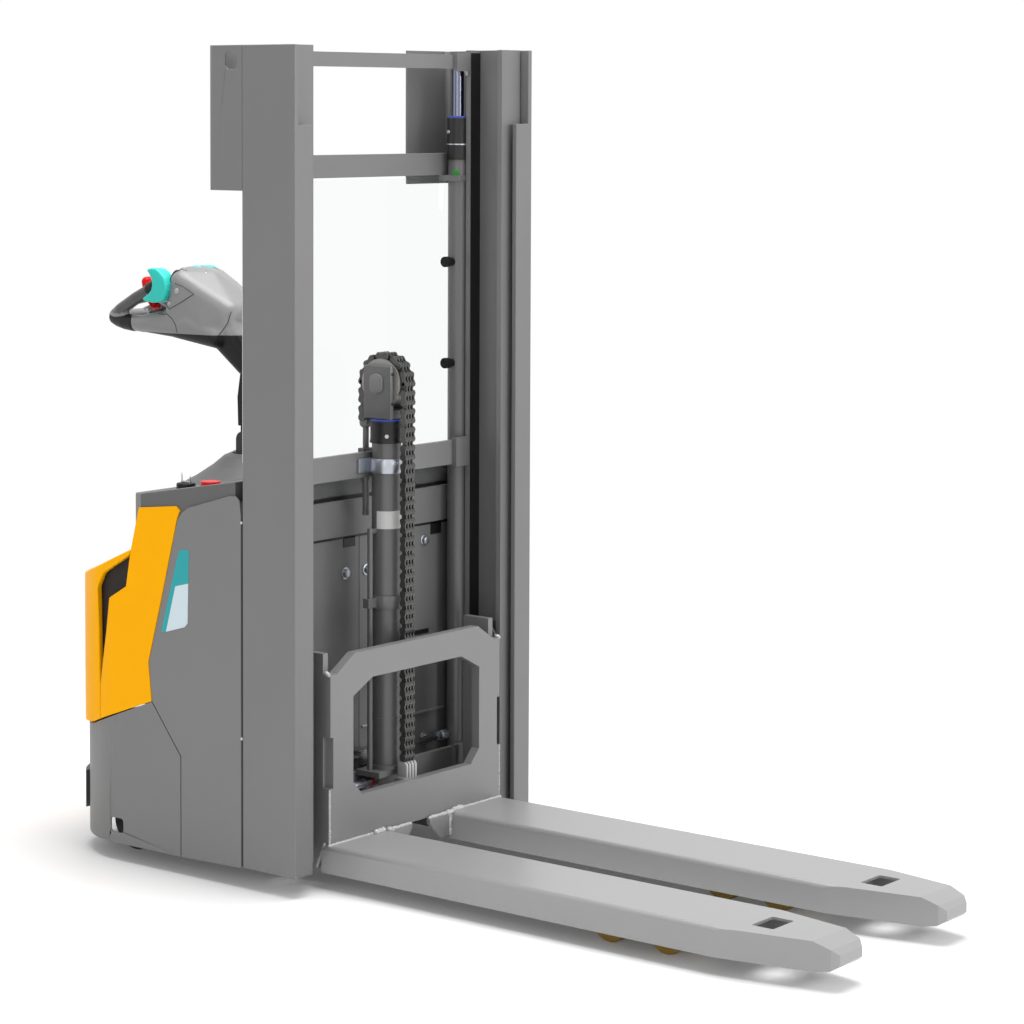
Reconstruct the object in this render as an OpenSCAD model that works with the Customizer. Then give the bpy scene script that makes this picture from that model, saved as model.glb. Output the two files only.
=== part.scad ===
// Electric pedestrian stacker: two-stage mast with full free lift, forks over support arms,
// one steered drive wheel, two castors and a tiller.
// X runs across the truck, Y from the fork tips to the tiller, Z up from the floor.
// Lengths along Y are measured from a plane a little in front of the mast and the fork carriage.

/* [Overall] */
// Height of the lowered mast
mast_height = 1700; // [1660:10:1800]
// Width over the outer mast and the body
mast_width = 770; // [760:2:790]
// Distance of the rear end of the body behind the zero plane
chassis_length = 712; // [706:2:740]
// Reach of the tiller grip behind the zero plane
tiller_reach = 874; // [864:2:884]

/* [Outer mast] */
// Distance of the outer mast behind the zero plane
outer_setback = 12; // [8:1:12]
// Depth of the outer channel
outer_depth = 141; // [141:1:143]
// Width of the outer channel's flanges
outer_flange = 54; // [52:1:56]
// Wall of all mast channels
mast_wall = 12; // [10:0.5:13]
// Floor clearance of the outer mast
outer_bottom = 43; // [40:1:48]
// Length cut away at the top of the outer front flange
flange_cut = 158; // [120:2:164]

/* [Inner mast] */
// Distance of the inner mast behind the zero plane
inner_setback = 33; // [33:0.5:34]
// Depth of the inner channel
inner_depth = 98; // [96:0.5:98]
// Width of the inner profile's flanges
inner_flange = 64; // [62:1:66]
// How far the inner flanges stand out behind the outer flanges
flange_lip = 18; // [17:0.5:20]
// Side gap between inner flange and outer web
mast_gap = 3; // [2:0.5:4]
// Floor clearance of the inner mast
inner_bottom = 60; // [55:1:70]
// Thickness of the cross bars
bar_thick = 12; // [8:1:12]
// Height of the middle cross bar's centre
middle_bar_z = 831; // [800:1:860]
// Travel of the inner mast
mast_lift = 1150; // [1000:10:1150]

/* [Carriage] */
// Top of the carriage plate
carriage_top = 472; // [465:1:500]
// Distance of the carriage face behind the zero plane
face_y = 12; // [10:1:13]
// Thickness of the carriage plate
carriage_plate = 20; // [14:1:20]
// Side gap between the carriage and the inner flanges
carriage_gap = 28; // [24:1:30]
// Half width of the window
window_half = 207; // [190:1:212]
// Bottom edge of the window
window_low = 178; // [170:1:190]
// Top edge of the window
window_high = 415; // [400:1:425]
// Thickness of the carriage side plates
side_plate = 15; // [12:1:16]
// Depth of the carriage side plates
side_plate_depth = 100; // [96:1:104]
// Height of the lower carriage roller
lower_roller_z = 125; // [120:1:140]
// Height of the upper carriage roller
upper_roller_z = 424; // [400:1:430]
// Travel of the carriage on the inner mast
free_lift = 1150; // [1000:10:1150]

/* [Forks] */
// Reach of the fork tips in front of the zero plane
fork_length = 1150; // [1100:10:1200]
// Width across both forks
fork_spread = 570; // [566:1:574]
// Width of one fork
fork_width = 185; // [180:1:190]
// Height of the lowered fork's top
fork_top = 90; // [88:1:92]
// Depth of the fork's skirts
fork_depth = 56; // [50:1:58]
// Thickness of the fork's top plate
fork_plate = 5; // [4:0.5:6]
// Thickness of the fork's skirts
fork_skirt = 8; // [6:0.5:9]
// Length of the tapered tip
tip_length = 235; // [200:5:260]
// Half width of the blunt tip
tip_half = 50; // [44:1:56]
// Distance of the slot from the tip
slot_back = 166; // [150:2:180]

/* [Running gear] */
// Diameter of the drive wheel
drive_wheel_d = 230; // [220:1:234]
// Width of the drive wheel
drive_wheel_w = 75; // [66:1:78]
// Diameter of the load rollers
load_roller_d = 80; // [76:1:80]
// Width of the load rollers
load_roller_w = 70; // [60:1:74]
// Distance between the two load rollers of one arm
load_roller_pitch = 130; // [110:2:136]
// Distance of the bogie pivot in front of the zero plane
load_distance = 707; // [690:1:720]
// Diameter of the castor wheels
castor_d = 125; // [120:1:128]
// Width of the castor wheels
castor_w = 40; // [34:1:44]
// Trail of the castor wheels
castor_trail = 28; // [20:1:32]
// Distance of the castor stems from the outside of the body
castor_inset = 112; // [108:1:116]

/* [Cylinders] */
// Radius of the side cylinder barrels
side_barrel_r = 21; // [19:0.5:21.5]
// Radius of the side piston rods
side_rod_r = 13; // [11:0.5:13.5]
// Radius of the free lift barrel
free_barrel_r = 31; // [28:0.5:31.5]
// Radius of the free lift rod
free_rod_r = 20; // [16:0.5:22]
// Top of the free lift cylinder head
free_head_top = 923; // [910:1:935]
// Radius of the chain's middle line on the sheave
chain_r = 57; // [56:0.5:58]
// Width of the leaf chain
chain_w = 32; // [28:1:34]
// Thickness of the leaf chain
chain_t = 17; // [14:0.5:17]

/* [Body] */
// Radius of the rear corners in plan
corner_r = 185; // [176:1:192]
// Wall of the moulded covers
cover_wall = 4; // [3:0.5:4.5]
// Wall of the rear bow
bow_wall = 14; // [12:0.5:16]
// Distance of the body behind the zero plane
body_front = 158; // [156:0.5:160]
// Height of the deck at the front
deck_front_z = 824; // [815:1:835]
// Slope of the deck towards the rear, in degrees
deck_slope = 9.6; // [8:0.1:10]
// Width of the seam between covers
seam = 2; // [1:0.5:3]

/* [Hidden] */
// Running clearance of shafts and pins, on the radius
running = 0.05;
// Clearance between moving pieces that don't touch
clear = 0.4;

// Places across the truck
half = mast_width / 2;
outer_in = half - outer_flange;
inner_x = half - mast_wall - mast_gap;
inner_in = inner_x - inner_flange;
inner_web = inner_x - flange_lip;
outer_rear = outer_setback + outer_depth;
inner_rear = inner_setback + inner_depth;
flange_top = mast_height - flange_cut;

// Rollers that run between the flanges
mast_roller_r = outer_depth / 2 - mast_wall - clear;
mast_roller_y = outer_setback + outer_depth / 2;
mast_roller_low = inner_bottom + mast_roller_r + 2;
mast_roller_high = mast_roller_low + 2 * mast_roller_r + 90;
mast_roller_x0 = inner_web + 2;
mast_roller_x1 = half - mast_wall - 3;
carriage_roller_r = inner_depth / 2 - mast_wall - clear;
carriage_roller_y = inner_setback + inner_depth / 2;
side_plate_x = inner_in - carriage_gap;
carriage_roller_x0 = inner_in + 2;
carriage_roller_x1 = inner_web - mast_wall - 2;
lip_low = mast_roller_high + mast_roller_r + 12;
roller_pin_r = 14;

// Cross bars behind the inner mast
tab_thick = 11;
bar_y0 = inner_rear;
bar_y1 = bar_y0 + bar_thick;
top_bar_z = mast_height - 25;

// Side cylinders
side_barrel_x = outer_in - side_barrel_r - 2;
side_barrel_y = bar_y0 + side_barrel_r + 3;
bar_half = side_barrel_x - side_barrel_r - 4;
foot_top = 110;
side_head_z = flange_top - 42;
side_head_top = flange_top + 12;
rod_top = top_bar_z - 11;
rod_bottom = side_head_z - mast_lift - 30;

// Outer mast bar and hand guard
guard_bar_y0 = side_barrel_y + side_barrel_r + 4;
guard_bar_y1 = guard_bar_y0 + 10;
guard_bar_z0 = flange_top - 112;
guard_bar_z1 = guard_bar_z0 + 48;
guard_plate_low = mast_height - 290;
guard_plate_rear = outer_rear + 94;
screen_y1 = guard_bar_y1 + 4;
screen_half = half - 45;
ledge_top = 752;

// Free lift cylinder, yoke and chain
lift_y = bar_y0 - free_barrel_r - 2;
free_foot = 192;
free_head_z = free_head_top - 43;
yoke_top = free_head_top + 117;
sheave_z = free_head_top + 80;
sheave_half = chain_w / 2 + 4;
yoke_wall = 10;
pulley_lift = free_lift / 2;
front_strand_y = lift_y - chain_r;
rear_strand_y = lift_y + chain_r;
anchor_z = 200;
rear_anchor_z = 862;
pipe_x = -free_barrel_r - 15;
pipe_y = lift_y + 6;
pipe_r = 6;
pipe_top = 700;

// Forks and support arms
fork_x = fork_spread / 2 - fork_width / 2;
fork_low = fork_top - fork_depth;
fork_under = fork_top - fork_plate;
load_axle_z = load_roller_d / 2;
bogie_wall = 6;
bogie_half = load_roller_w / 2 + 2 + bogie_wall;
arm_half = bogie_half + 11;
arm_low = 38;
arm_top = fork_under - 7;
arm_tube_end = load_distance - load_roller_pitch / 2 - load_roller_d / 2 - 9;
pivot_r = 8;
carriage_low = fork_top - 1;
fork_rear = inner_setback - 2;
plate_rear = face_y + carriage_plate;

// Body: its outlines are drawn for a body that is 554 mm long and follow its real length
drawn_length = 554;
function body_y(y) = body_front + (y - 158) * (chassis_length - body_front) / drawn_length;
function body_line(points) = [for (p = points) [body_y(p[0]), p[1]]];
deck_side_y = body_y(442);
deck_rear_y = body_y(660);
deck_bend_y = body_y(630);
steer_y = body_y(480);
bulkhead_y = body_y(347);
house_rear = body_y(640);
castor_x = half - castor_inset;
castor_y = body_y(520);
deck_rear_half = 175;
deck_inset = cover_wall;
deck_low = 560;
panel_y = guard_bar_y1 + 6;
cover_rear = chassis_length - 12;
cover_bottom = 37;
tray_floor = 500;
tray_wall = 3;
frame_low = outer_bottom;
floor_top = frame_low + 8;
house_half = 168;
house_top = 285;
castor_shelf = 178;
cowl_top = deck_front_z + 4;
tilt_z = cowl_top + 30;
tilt_y = steer_y - 3;
key_x = 85 - half;
key_y = body_y(390);
stop_y = body_y(320);
stop_r = 20.5;

// Tiller head
grip_r = 17;
grip_y = tiller_reach - grip_r;
head_low = 1000;
knob_r = 11.5;
grip_z = 1119;
wing_y = grip_y - 180;
wing_z = 1186;
button_y = grip_y - 79;
button_z = 1168;
rocker_y = grip_y - 212;
rocker_z = 1209;

// Moves the finished truck so that its box stands centred on the origin
origin_y = (fork_length - tiller_reach) / 2;

// Copies a piece of the right side to the left side
module both_sides() {
    children();
    mirror([1, 0, 0]) children();
}

// Cylinder along X
module rod_x(x0, x1, y, z, r) {
    translate([x0, y, z]) rotate([0, 90, 0]) cylinder(h = x1 - x0, r = r, $fn = 48);
}

// Cylinder along Y
module rod_y(y0, y1, x, z, r) {
    translate([x, y1, z]) rotate([90, 0, 0]) cylinder(h = y1 - y0, r = r, $fn = 48);
}

// Cylinder along Z
module rod_z(z0, z1, x, y, r) {
    translate([x, y, z0]) cylinder(h = z1 - z0, r = r, $fn = 64);
}

// Box between two corners
module block(a, b) {
    translate(a) cube(b - a);
}

// Side view outline, [y, z] points, drawn out across the truck
module side_view(points, x0, x1) {
    translate([x0, 0, 0]) rotate([90, 0, 90]) linear_extrude(x1 - x0) polygon(points);
}

// Front view outline, [x, z] points, drawn out along the truck
module front_view(y0, y1) {
    translate([0, y1, 0]) rotate([90, 0, 0]) linear_extrude(y1 - y0) children();
}

// Rectangle with round corners
module soft_rect(w, h, r) {
    union() {
        square([w - 2 * r, h], center = true);
        square([w, h - 2 * r], center = true);
        for (sx = [-1, 1], sy = [-1, 1])
            translate([sx * (w / 2 - r), sy * (h / 2 - r)]) circle(r, $fn = 32);
    }
}

// Roller with a bore and broken edges, along X from x0
module roller(x0, w, y, z, r, bore) {
    edge = 2;
    translate([x0, y, z]) rotate([0, 90, 0]) rotate_extrude($fn = 96)
        polygon([[bore, 0], [r - edge, 0], [r, edge], [r, w - edge], [r - edge, w], [bore, w]]);
}

// Plan of the covers, set in by inset and ending at rear
module body_plan(inset, rear) {
    centre_x = half - corner_r;
    centre_y = rear - corner_r;
    union() {
        translate([inset - half, body_front]) square([2 * (half - inset), centre_y - body_front]);
        translate([-centre_x, body_front]) square([2 * centre_x, rear - inset - body_front]);
        for (s = [-1, 1]) translate([s * centre_x, centre_y]) circle(corner_r - inset, $fn = 120);
    }
}

// Plan of the deck and the hood below it, which leaves the rear corners to the tray
module deck_plan(inset, front) {
    side = half - deck_inset - inset;
    polygon([
        [-side, front], [side, front], [side, deck_side_y], [deck_rear_half + 30 - inset, deck_bend_y - inset],
        [deck_rear_half - inset, deck_rear_y - inset], [inset - deck_rear_half, deck_rear_y - inset],
        [inset - deck_rear_half - 30, deck_bend_y - inset], [-side, deck_side_y]
    ]);
}

// Half space below the deck's top face, lowered by drop
module below_deck(drop) {
    reach = chassis_length - 12;
    front = body_front - 20;
    z0 = deck_front_z - drop;
    side_view([[front, 0], [reach, 0], [reach, z0 - (reach - 176) * tan(deck_slope)],
        [front, z0 + (176 - front) * tan(deck_slope)]], -half, half);
}

// Wall of the covers: a ring of the body's plan that stands from z0 to z1
module cover_ring(rear, wall, z0, z1) {
    translate([0, 0, z0]) linear_extrude(z1 - z0) difference() {
        body_plan(0, rear);
        translate([0, -1]) body_plan(wall, rear + 1);
    }
}

// Frame of the truck: mast foot, floor, side rails, wheel house, castor shelves and bumper
module chassis_frame() {
    color([0.5, 0.5, 0.5]) bumper();
    color([0.25, 0.25, 0.26]) difference() {
        union() {
            block([-half + 12, outer_rear, frame_low], [half - 12, outer_rear + 27, foot_top]);
            block([-half + 30, outer_rear + 27, frame_low], [half - 30, bulkhead_y + 5, floor_top]);
            block([45 - half, bulkhead_y, frame_low], [half - 45, bulkhead_y + 5, 500]);
            both_sides() {
                block([half - 30, outer_rear + 27, frame_low], [half - cover_wall, body_y(430), 130]);
                block([house_half - 8, bulkhead_y + 5, frame_low], [house_half, house_rear, house_top]);
                block([house_half, bulkhead_y + 5, castor_shelf - 10], [half - 40, body_y(600), castor_shelf]);
            }
            block([-house_half, house_rear - 8, frame_low], [house_half, house_rear, house_top]);
            block([-house_half, bulkhead_y + 5, house_top - 10], [house_half, house_rear, house_top]);
            block([-60, house_rear, 100], [60, cover_rear - cover_wall, 150]);
        }
        rod_z(house_top - 11, house_top + 1, 0, steer_y, 60);
        both_sides() rod_z(castor_shelf - 11, castor_shelf + 1, castor_x, castor_y, 12 + running);
    }
}

// One support arm: box tube, cheeks and the pin that carries the bogie
module support_arm() {
    y_end = -(load_distance + 34);
    color([0.35, 0.35, 0.36]) union() {
        difference() {
            block([fork_x - arm_half, -arm_tube_end, arm_low], [fork_x + arm_half, outer_rear, arm_top]);
            block([fork_x - arm_half + 8, 8 - arm_tube_end, arm_low + 8],
                [fork_x + arm_half - 8, outer_rear - 20, arm_top - 8]);
        }
        for (s = [-1, 1]) side_view([
            [-arm_tube_end, arm_low], [-arm_tube_end, arm_top], [y_end + 20, arm_top], [y_end, arm_top - 20],
            [y_end, load_axle_z - 6], [y_end + 12, load_axle_z - 18], [-arm_tube_end - 40, load_axle_z - 18]
        ], fork_x + s * (arm_half - 4) - 4, fork_x + s * (arm_half - 4) + 4);
        rod_x(fork_x - arm_half + 4, fork_x + arm_half - 4, -load_distance, load_axle_z, pivot_r);
    }
}

// One outer mast channel, open towards the middle
module outer_channel() {
    web = half - mast_wall;
    color([0.45, 0.45, 0.46]) union() {
        block([web, outer_setback, outer_bottom], [half, outer_rear, mast_height]);
        block([outer_in, outer_setback, outer_bottom], [web, outer_setback + mast_wall, flange_top]);
        block([outer_in, outer_rear - mast_wall, outer_bottom], [web, outer_rear, mast_height]);
    }
}

// Plates that tie the outer mast together: guard bar, cylinder brackets and lifting plates
module outer_mast_plates() {
    wall = 4;
    return_x = half - 144;
    color([0.47, 0.47, 0.48]) {
        difference() {
            union() {
                block([-half + 13, guard_bar_y0, guard_bar_z0], [half - 13, guard_bar_y1, guard_bar_z1]);
                both_sides() {
                    block([outer_in + 2, outer_rear, guard_bar_z0], [half - 13, guard_bar_y0, guard_bar_z1]);
                    block([bar_half + 2, bar_y0 + 1, guard_bar_z0 - 12], [outer_in, guard_bar_y1, guard_bar_z0]);
                    block([outer_in, outer_rear, guard_bar_z0 - 12], [half - 13, guard_bar_y1, guard_bar_z0]);
                }
            }
            both_sides() rod_z(guard_bar_z0 - 13, guard_bar_z1 + 1, side_barrel_x, side_barrel_y, side_barrel_r);
        }
        both_sides() difference() {
            union() {
                block([half - wall, outer_rear, guard_plate_low], [half, guard_plate_rear - 14, mast_height]);
                block([return_x, guard_plate_rear - wall, guard_plate_low], [half - 14, guard_plate_rear, mast_height]);
                intersection() {
                    translate([half - 14, guard_plate_rear - 14, guard_plate_low]) difference() {
                        cylinder(h = mast_height - guard_plate_low, r = 14, $fn = 48);
                        translate([0, 0, -1]) cylinder(h = mast_height - guard_plate_low + 2, r = 14 - wall, $fn = 48);
                    }
                    block([half - 14, guard_plate_rear - 14, guard_plate_low], [half, guard_plate_rear, mast_height]);
                }
            }
            translate([half - 10, outer_rear + 30, mast_height - 30]) rotate([90, 0, 90])
                linear_extrude(20) soft_rect(32, 35, 9);
        }
    }
}

// Barrel and head of the side cylinders
module lift_cylinders() {
    color([0.33, 0.33, 0.34]) both_sides() {
        difference() {
            rod_z(foot_top, side_head_z, side_barrel_x, side_barrel_y, side_barrel_r);
            rod_z(foot_top + 20, side_head_z + 1, side_barrel_x, side_barrel_y, side_rod_r + 4);
        }
        difference() {
            rod_z(side_head_z, side_head_top, side_barrel_x, side_barrel_y, side_barrel_r + 2);
            rod_z(side_head_z - 1, side_head_top + 1, side_barrel_x, side_barrel_y, side_rod_r + running);
        }
    }
}

// Clear hand guard behind the mast
module hand_guard_screen() {
    slot_top = guard_bar_z0 - 5;
    slot_x = half - 89;
    color([0.9, 0.93, 0.93, 0.35]) difference() {
        block([-screen_half, guard_bar_y1, ledge_top], [screen_half, screen_y1, slot_top]);
        both_sides() {
            block([slot_x - 10, guard_bar_y1 - 1, slot_top - 64], [slot_x + 10, screen_y1 + 1, slot_top + 1]);
            rod_y(guard_bar_y1 - 1, screen_y1 + 1, slot_x, slot_top - 64, 10);
        }
    }
}

// Knobs on the side cylinders that hold the guard
module screen_knobs() {
    inner = side_barrel_x - side_barrel_r;
    color([0.05, 0.05, 0.05]) both_sides() for (z = [1023, 1243]) {
        rod_x(inner - 24, inner - 12, side_barrel_y, z, knob_r);
        difference() {
            rod_x(inner - 12, inner + 8, side_barrel_y, z, 9);
            rod_z(z - 20, z + 20, side_barrel_x, side_barrel_y, side_barrel_r);
        }
    }
}

// Grey side cover next to the mast
module side_cover() {
    color([0.5, 0.5, 0.51]) intersection() {
        cover_ring(chassis_length, cover_wall, cover_bottom, deck_front_z);
        side_view(body_line([
            [158, 41], [325, cover_bottom], [325, 247], [407, 350], [416, 431], [376, 575],
            [338, 718], [333, 735], [322, 749], [305, 761], [190, 795], [172, 796], [162, 786], [158, 760]
        ]), half - 60, half);
    }
}

// Grey lower cover that runs round the rear
module lower_cover() {
    color([0.5, 0.5, 0.51]) difference() {
        intersection() {
            cover_ring(cover_rear, cover_wall, cover_bottom, 360);
            side_view(body_line([
                [325 + seam, cover_bottom], [325 + seam, 246], [407 + seam, 349], [562, 292 - seam],
                [600, 278 - seam], [712, 262 - seam], [712, 180], [692, 101],
                [682, 55], [662, cover_bottom]
            ]), -half, half);
        }
        both_sides() translate([half - 20, body_y(511), 75]) rotate([90, 0, 90])
            linear_extrude(40) soft_rect(37, 30, 7);
    }
}

// Yellow side panel of the hood
module yellow_panel() {
    g = seam;
    color([1, 0.7, 0.02]) intersection() {
        cover_ring(chassis_length, cover_wall, 280, deck_front_z);
        side_view(body_line([
            [326 + g, 753], [336 + g, 762], [444, 750], [469, 654], [482, 582], [531, 553], [540, 487],
            [561, 366], [561, 294], [407 + g, 350], [416 + g, 431], [376 + g, 575], [338 + g, 718], [333 + g, 737]
        ]), half - 60, half);
    }
}

// Yellow bow round the rear, with its rim
module rear_bow() {
    color([1, 0.7, 0.02]) intersection() {
        difference() {
            translate([0, 0, 262]) linear_extrude(420) body_plan(0, chassis_length);
            translate([0, -1, 261]) linear_extrude(422) body_plan(bow_wall, chassis_length + 1);
        }
        side_view(body_line([
            [562.5, 293], [600, 279], [712, 262], [712, 585], [650, 589], [620, 598],
            [556, 622], [469, 661], [473, 648], [551, 602], [570, 573], [564, 366]
        ]), -half, half);
    }
}

// Dark tray between hood and bow
module storage_tray() {
    low = 360;
    module tray_plan(wall) {
        difference() {
            body_plan(bow_wall + wall, chassis_length);
            translate([0, 0]) deck_plan(-wall, body_front - 5);
            translate([-half, 0]) square([mast_width, deck_side_y + 10 + wall]);
        }
    }
    color([0.12, 0.11, 0.11]) difference() {
        intersection() {
            translate([0, 0, low]) linear_extrude(300) tray_plan(0);
            side_view(body_line([
                [442, low], [712, low], [712, 575], [650, 580], [620, 589],
                [556, 612], [479, 646], [442, 646]
            ]), -half, half);
        }
        translate([0, 0, tray_floor + tray_wall]) linear_extrude(300) tray_plan(tray_wall);
        translate([0, 0, low - 1]) linear_extrude(tray_floor + 1 - low) tray_plan(tray_wall);
    }
}

// Sloping deck with the hood's rear wall
module deck_cover() {
    wall = 4;
    color([0.36, 0.36, 0.37]) difference() {
        intersection() {
            translate([0, 0, deck_low]) linear_extrude(300) union() {
                deck_plan(0, panel_y);
                both_sides() translate([screen_half + 5, 176]) square([half - deck_inset - screen_half - 5, 40]);
            }
            below_deck(0);
        }
        intersection() {
            translate([0, 0, deck_low - 1]) linear_extrude(300) deck_plan(wall, panel_y + wall);
            below_deck(wall);
        }
        rod_z(700, 860, 0, steer_y, 60);
        rod_z(700, 860, key_x, stop_y, stop_r + clear);
    }
}

// Fixed cowl round the steering column
module tiller_cowl() {
    top = cowl_top;
    module skin(off) {
        translate([0, steer_y, 0]) rotate_extrude($fn = 96) polygon([
            [0, top - 100], [159 - off, top - 100], [159 - off, top - 71 - off], [120 - off, top - 50 - off],
            [84 - off, top - 26 - off], [60 - off, top - 6 - off], [46, top - off], [0, top - off]
        ]);
    }
    color([0.3, 0.3, 0.31]) difference() {
        skin(0);
        below_deck(0);
        skin(4);
        rod_z(top - 20, top + 1, 0, steer_y, 42);
    }
}

// Panels that close the body behind the mast, and their bolts
module front_panel() {
    color([0.2, 0.2, 0.21]) {
        block([-screen_half - 4, guard_bar_y0 + 2, 676], [screen_half + 4, panel_y, ledge_top]);
        block([-screen_half - 4, panel_y - 4, foot_top], [21, panel_y, 674]);
        block([23, panel_y - 4, foot_top], [screen_half + 4, panel_y, 674]);
        for (p = [[-220, 636], [-24, 595], [240, 636], [46, 595], [-220, 200], [240, 200]])
            rod_y(panel_y - 12, panel_y - 4, p[0], p[1], 9);
    }
}

// Traction battery on the floor plate
module battery() {
    color([0.1, 0.1, 0.11]) union() {
        block([60 - half, panel_y + 8, floor_top], [half - 60, bulkhead_y - 2, 640]);
        both_sides() rod_z(640, 652, half - 115, body_y(300), 12);
        block([-60, body_y(250), 640], [60, body_y(290), 656]);
    }
}

// Hydraulic power pack: motor, pump and oil tank on the castor shelves
module pump_unit() {
    color([0.22, 0.24, 0.27]) {
        pump_x = 140 - half;
        pump_y = body_y(415);
        rod_z(castor_shelf, castor_shelf + 150, pump_x, pump_y, 55);
        rod_z(castor_shelf + 150, castor_shelf + 220, pump_x, pump_y, 36);
        block([205, bulkhead_y + 10, castor_shelf], [half - 50, body_y(470), castor_shelf + 150]);
        rod_z(castor_shelf + 150, castor_shelf + 172, half - 125, pump_y + 5, 16);
    }
}

// Motor controller with its cooling fins
module motor_controller() {
    color([0.55, 0.56, 0.58]) union() {
        back = bulkhead_y + 5;
        block([20, back, 320], [200, back + 14, 480]);
        for (i = [0 : 8]) block([28 + i * 19.5, back + 14, 320], [32 + i * 19.5, back + 32, 480]);
    }
}

// Steel bumper that follows the rear corners
module bumper() {
    intersection() {
        translate([0, 0, 81]) linear_extrude(83) difference() {
            body_plan(0, chassis_length);
            translate([0, -10]) body_plan(-0.3, cover_rear + 10);
        }
        side_view(body_line([[648, 96], [660, 81], [712, 81], [712, 164], [648, 164]]), -half, half);
    }
}

// Pipes between the side cylinders and the hose to the pump
module hydraulic_pipes() {
    color([0.3, 0.3, 0.31]) difference() {
        union() {
            for (z = [165, 205]) rod_x(-side_barrel_x, side_barrel_x, side_barrel_y + 11, z, 7);
            block([-24, side_barrel_y - 2, 150], [24, side_barrel_y + 24, 220]);
        }
        both_sides() rod_z(100, 300, side_barrel_x, side_barrel_y, side_barrel_r);
    }
}

// Top of the deck at a place along the truck
function deck_z(y) = deck_front_z - (y - 176) * tan(deck_slope);

// Black housing of the key switch
module key_switch() {
    color([0.06, 0.06, 0.06]) difference() {
        block([key_x - 26, key_y - 26, 760], [key_x + 26, key_y + 26, deck_z(key_y) + 11]);
        below_deck(0);
        rod_z(deck_z(key_y) + 2, deck_z(key_y) + 20, key_x, key_y, 8 + running);
    }
}

// Key that turns in the switch
module ignition_key() {
    top = deck_z(key_y) + 11;
    color([0.1, 0.1, 0.1]) union() {
        rod_z(deck_z(key_y) + 4.5, top + 4, key_x, key_y, 8);
        block([key_x - 2.5, key_y - 12, top + 4], [key_x + 2.5, key_y + 12, top + 24]);
    }
}

// Red emergency stop, let into the deck
module emergency_stop() {
    z = deck_z(stop_y);
    color([0.8, 0.1, 0.1]) union() {
        rod_z(z - 30, z + 7, key_x, stop_y, stop_r);
    }
}

// One inner mast profile with its roller pins; the outer lips end above the rollers
module inner_channel() {
    web = inner_web - mast_wall;
    color([0.48, 0.48, 0.49]) union() {
        block([web, inner_setback, inner_bottom], [inner_web, inner_rear, mast_height]);
        block([inner_in, inner_setback, inner_bottom], [web, inner_setback + mast_wall, mast_height]);
        block([inner_in, inner_rear - mast_wall, inner_bottom], [web, inner_rear, mast_height]);
        block([inner_web, inner_setback, lip_low], [inner_x, inner_setback + mast_wall, mast_height]);
        block([inner_web, inner_rear - mast_wall, lip_low], [inner_x, inner_rear, mast_height]);
        for (z = [mast_roller_low, mast_roller_high])
            rod_x(inner_web - 1, mast_roller_x1 + 1, mast_roller_y, z, roller_pin_r);
    }
}

// Bars that tie the inner channels together, with end tabs, rod lugs, foot plate and chain anchor
module inner_mast_bars() {
    module bar(z, h) {
        block([-bar_half, bar_y0, z - h / 2], [bar_half, bar_y1, z + h / 2]);
        both_sides() block([bar_half - 21, bar_y0 - tab_thick, z - h / 2 - 5], [inner_in, bar_y0, z + h / 2 + 5]);
    }
    color([0.46, 0.46, 0.47]) union() {
        bar(top_bar_z, 30);
        bar(middle_bar_z, 52);
        bar(158, 55);
        both_sides() block([bar_half - 10, bar_y0, rod_top], [outer_in - 1, side_barrel_y + 17, rod_top + 12]);
        block([-60, lift_y - free_barrel_r, free_foot - 12], [60, bar_y0, free_foot]);
        block([-22, bar_y1, middle_bar_z - 14], [22, rear_strand_y + 13, middle_bar_z + 14]);
        block([-chain_w / 2, rear_strand_y - 8, middle_bar_z + 14], [chain_w / 2, rear_strand_y + 8, rear_anchor_z]);
        rod_z(720, middle_bar_z - 14, 0, rear_strand_y, 7);
        rod_z(middle_bar_z - 38, middle_bar_z - 14, 0, rear_strand_y, 10);
    }
}

// Chromed rods and pistons of the side cylinders
module piston_rods() {
    color([0.8, 0.8, 0.82]) both_sides() union() {
        rod_z(rod_bottom, rod_top, side_barrel_x, side_barrel_y, side_rod_r);
        rod_z(rod_bottom, rod_bottom + 25, side_barrel_x, side_barrel_y, side_rod_r + 4 - running);
    }
}

// Barrel and head of the free lift cylinder
module free_lift_barrel() {
    color([0.35, 0.35, 0.36]) {
        difference() {
            union() {
                rod_z(free_foot, free_head_z, 0, lift_y, free_barrel_r);
                rod_z(free_foot, free_foot + 8, 0, lift_y, free_barrel_r + 6);
                rod_z(290, 300, 0, lift_y, free_barrel_r + 1);
                rod_z(free_foot, pipe_top, pipe_x, pipe_y, pipe_r);
                rod_x(pipe_x, -free_barrel_r + 3, pipe_y, pipe_top - pipe_r, pipe_r);
            }
            rod_z(free_foot + 20, free_head_z + 1, 0, lift_y, free_rod_r + 5);
            block([-50, bar_y0, free_foot - 1], [50, bar_y0 + 40, free_foot + 20]);
        }
        difference() {
            rod_z(free_head_z, free_head_top, 0, lift_y, free_barrel_r + 3);
            rod_z(free_head_z - 1, free_head_top + 1, 0, lift_y, free_rod_r + running);
            block([-50, bar_y0 + 2, free_head_z - 1], [50, bar_y0 + 40, free_head_top + 1]);
        }
    }
}

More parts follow.
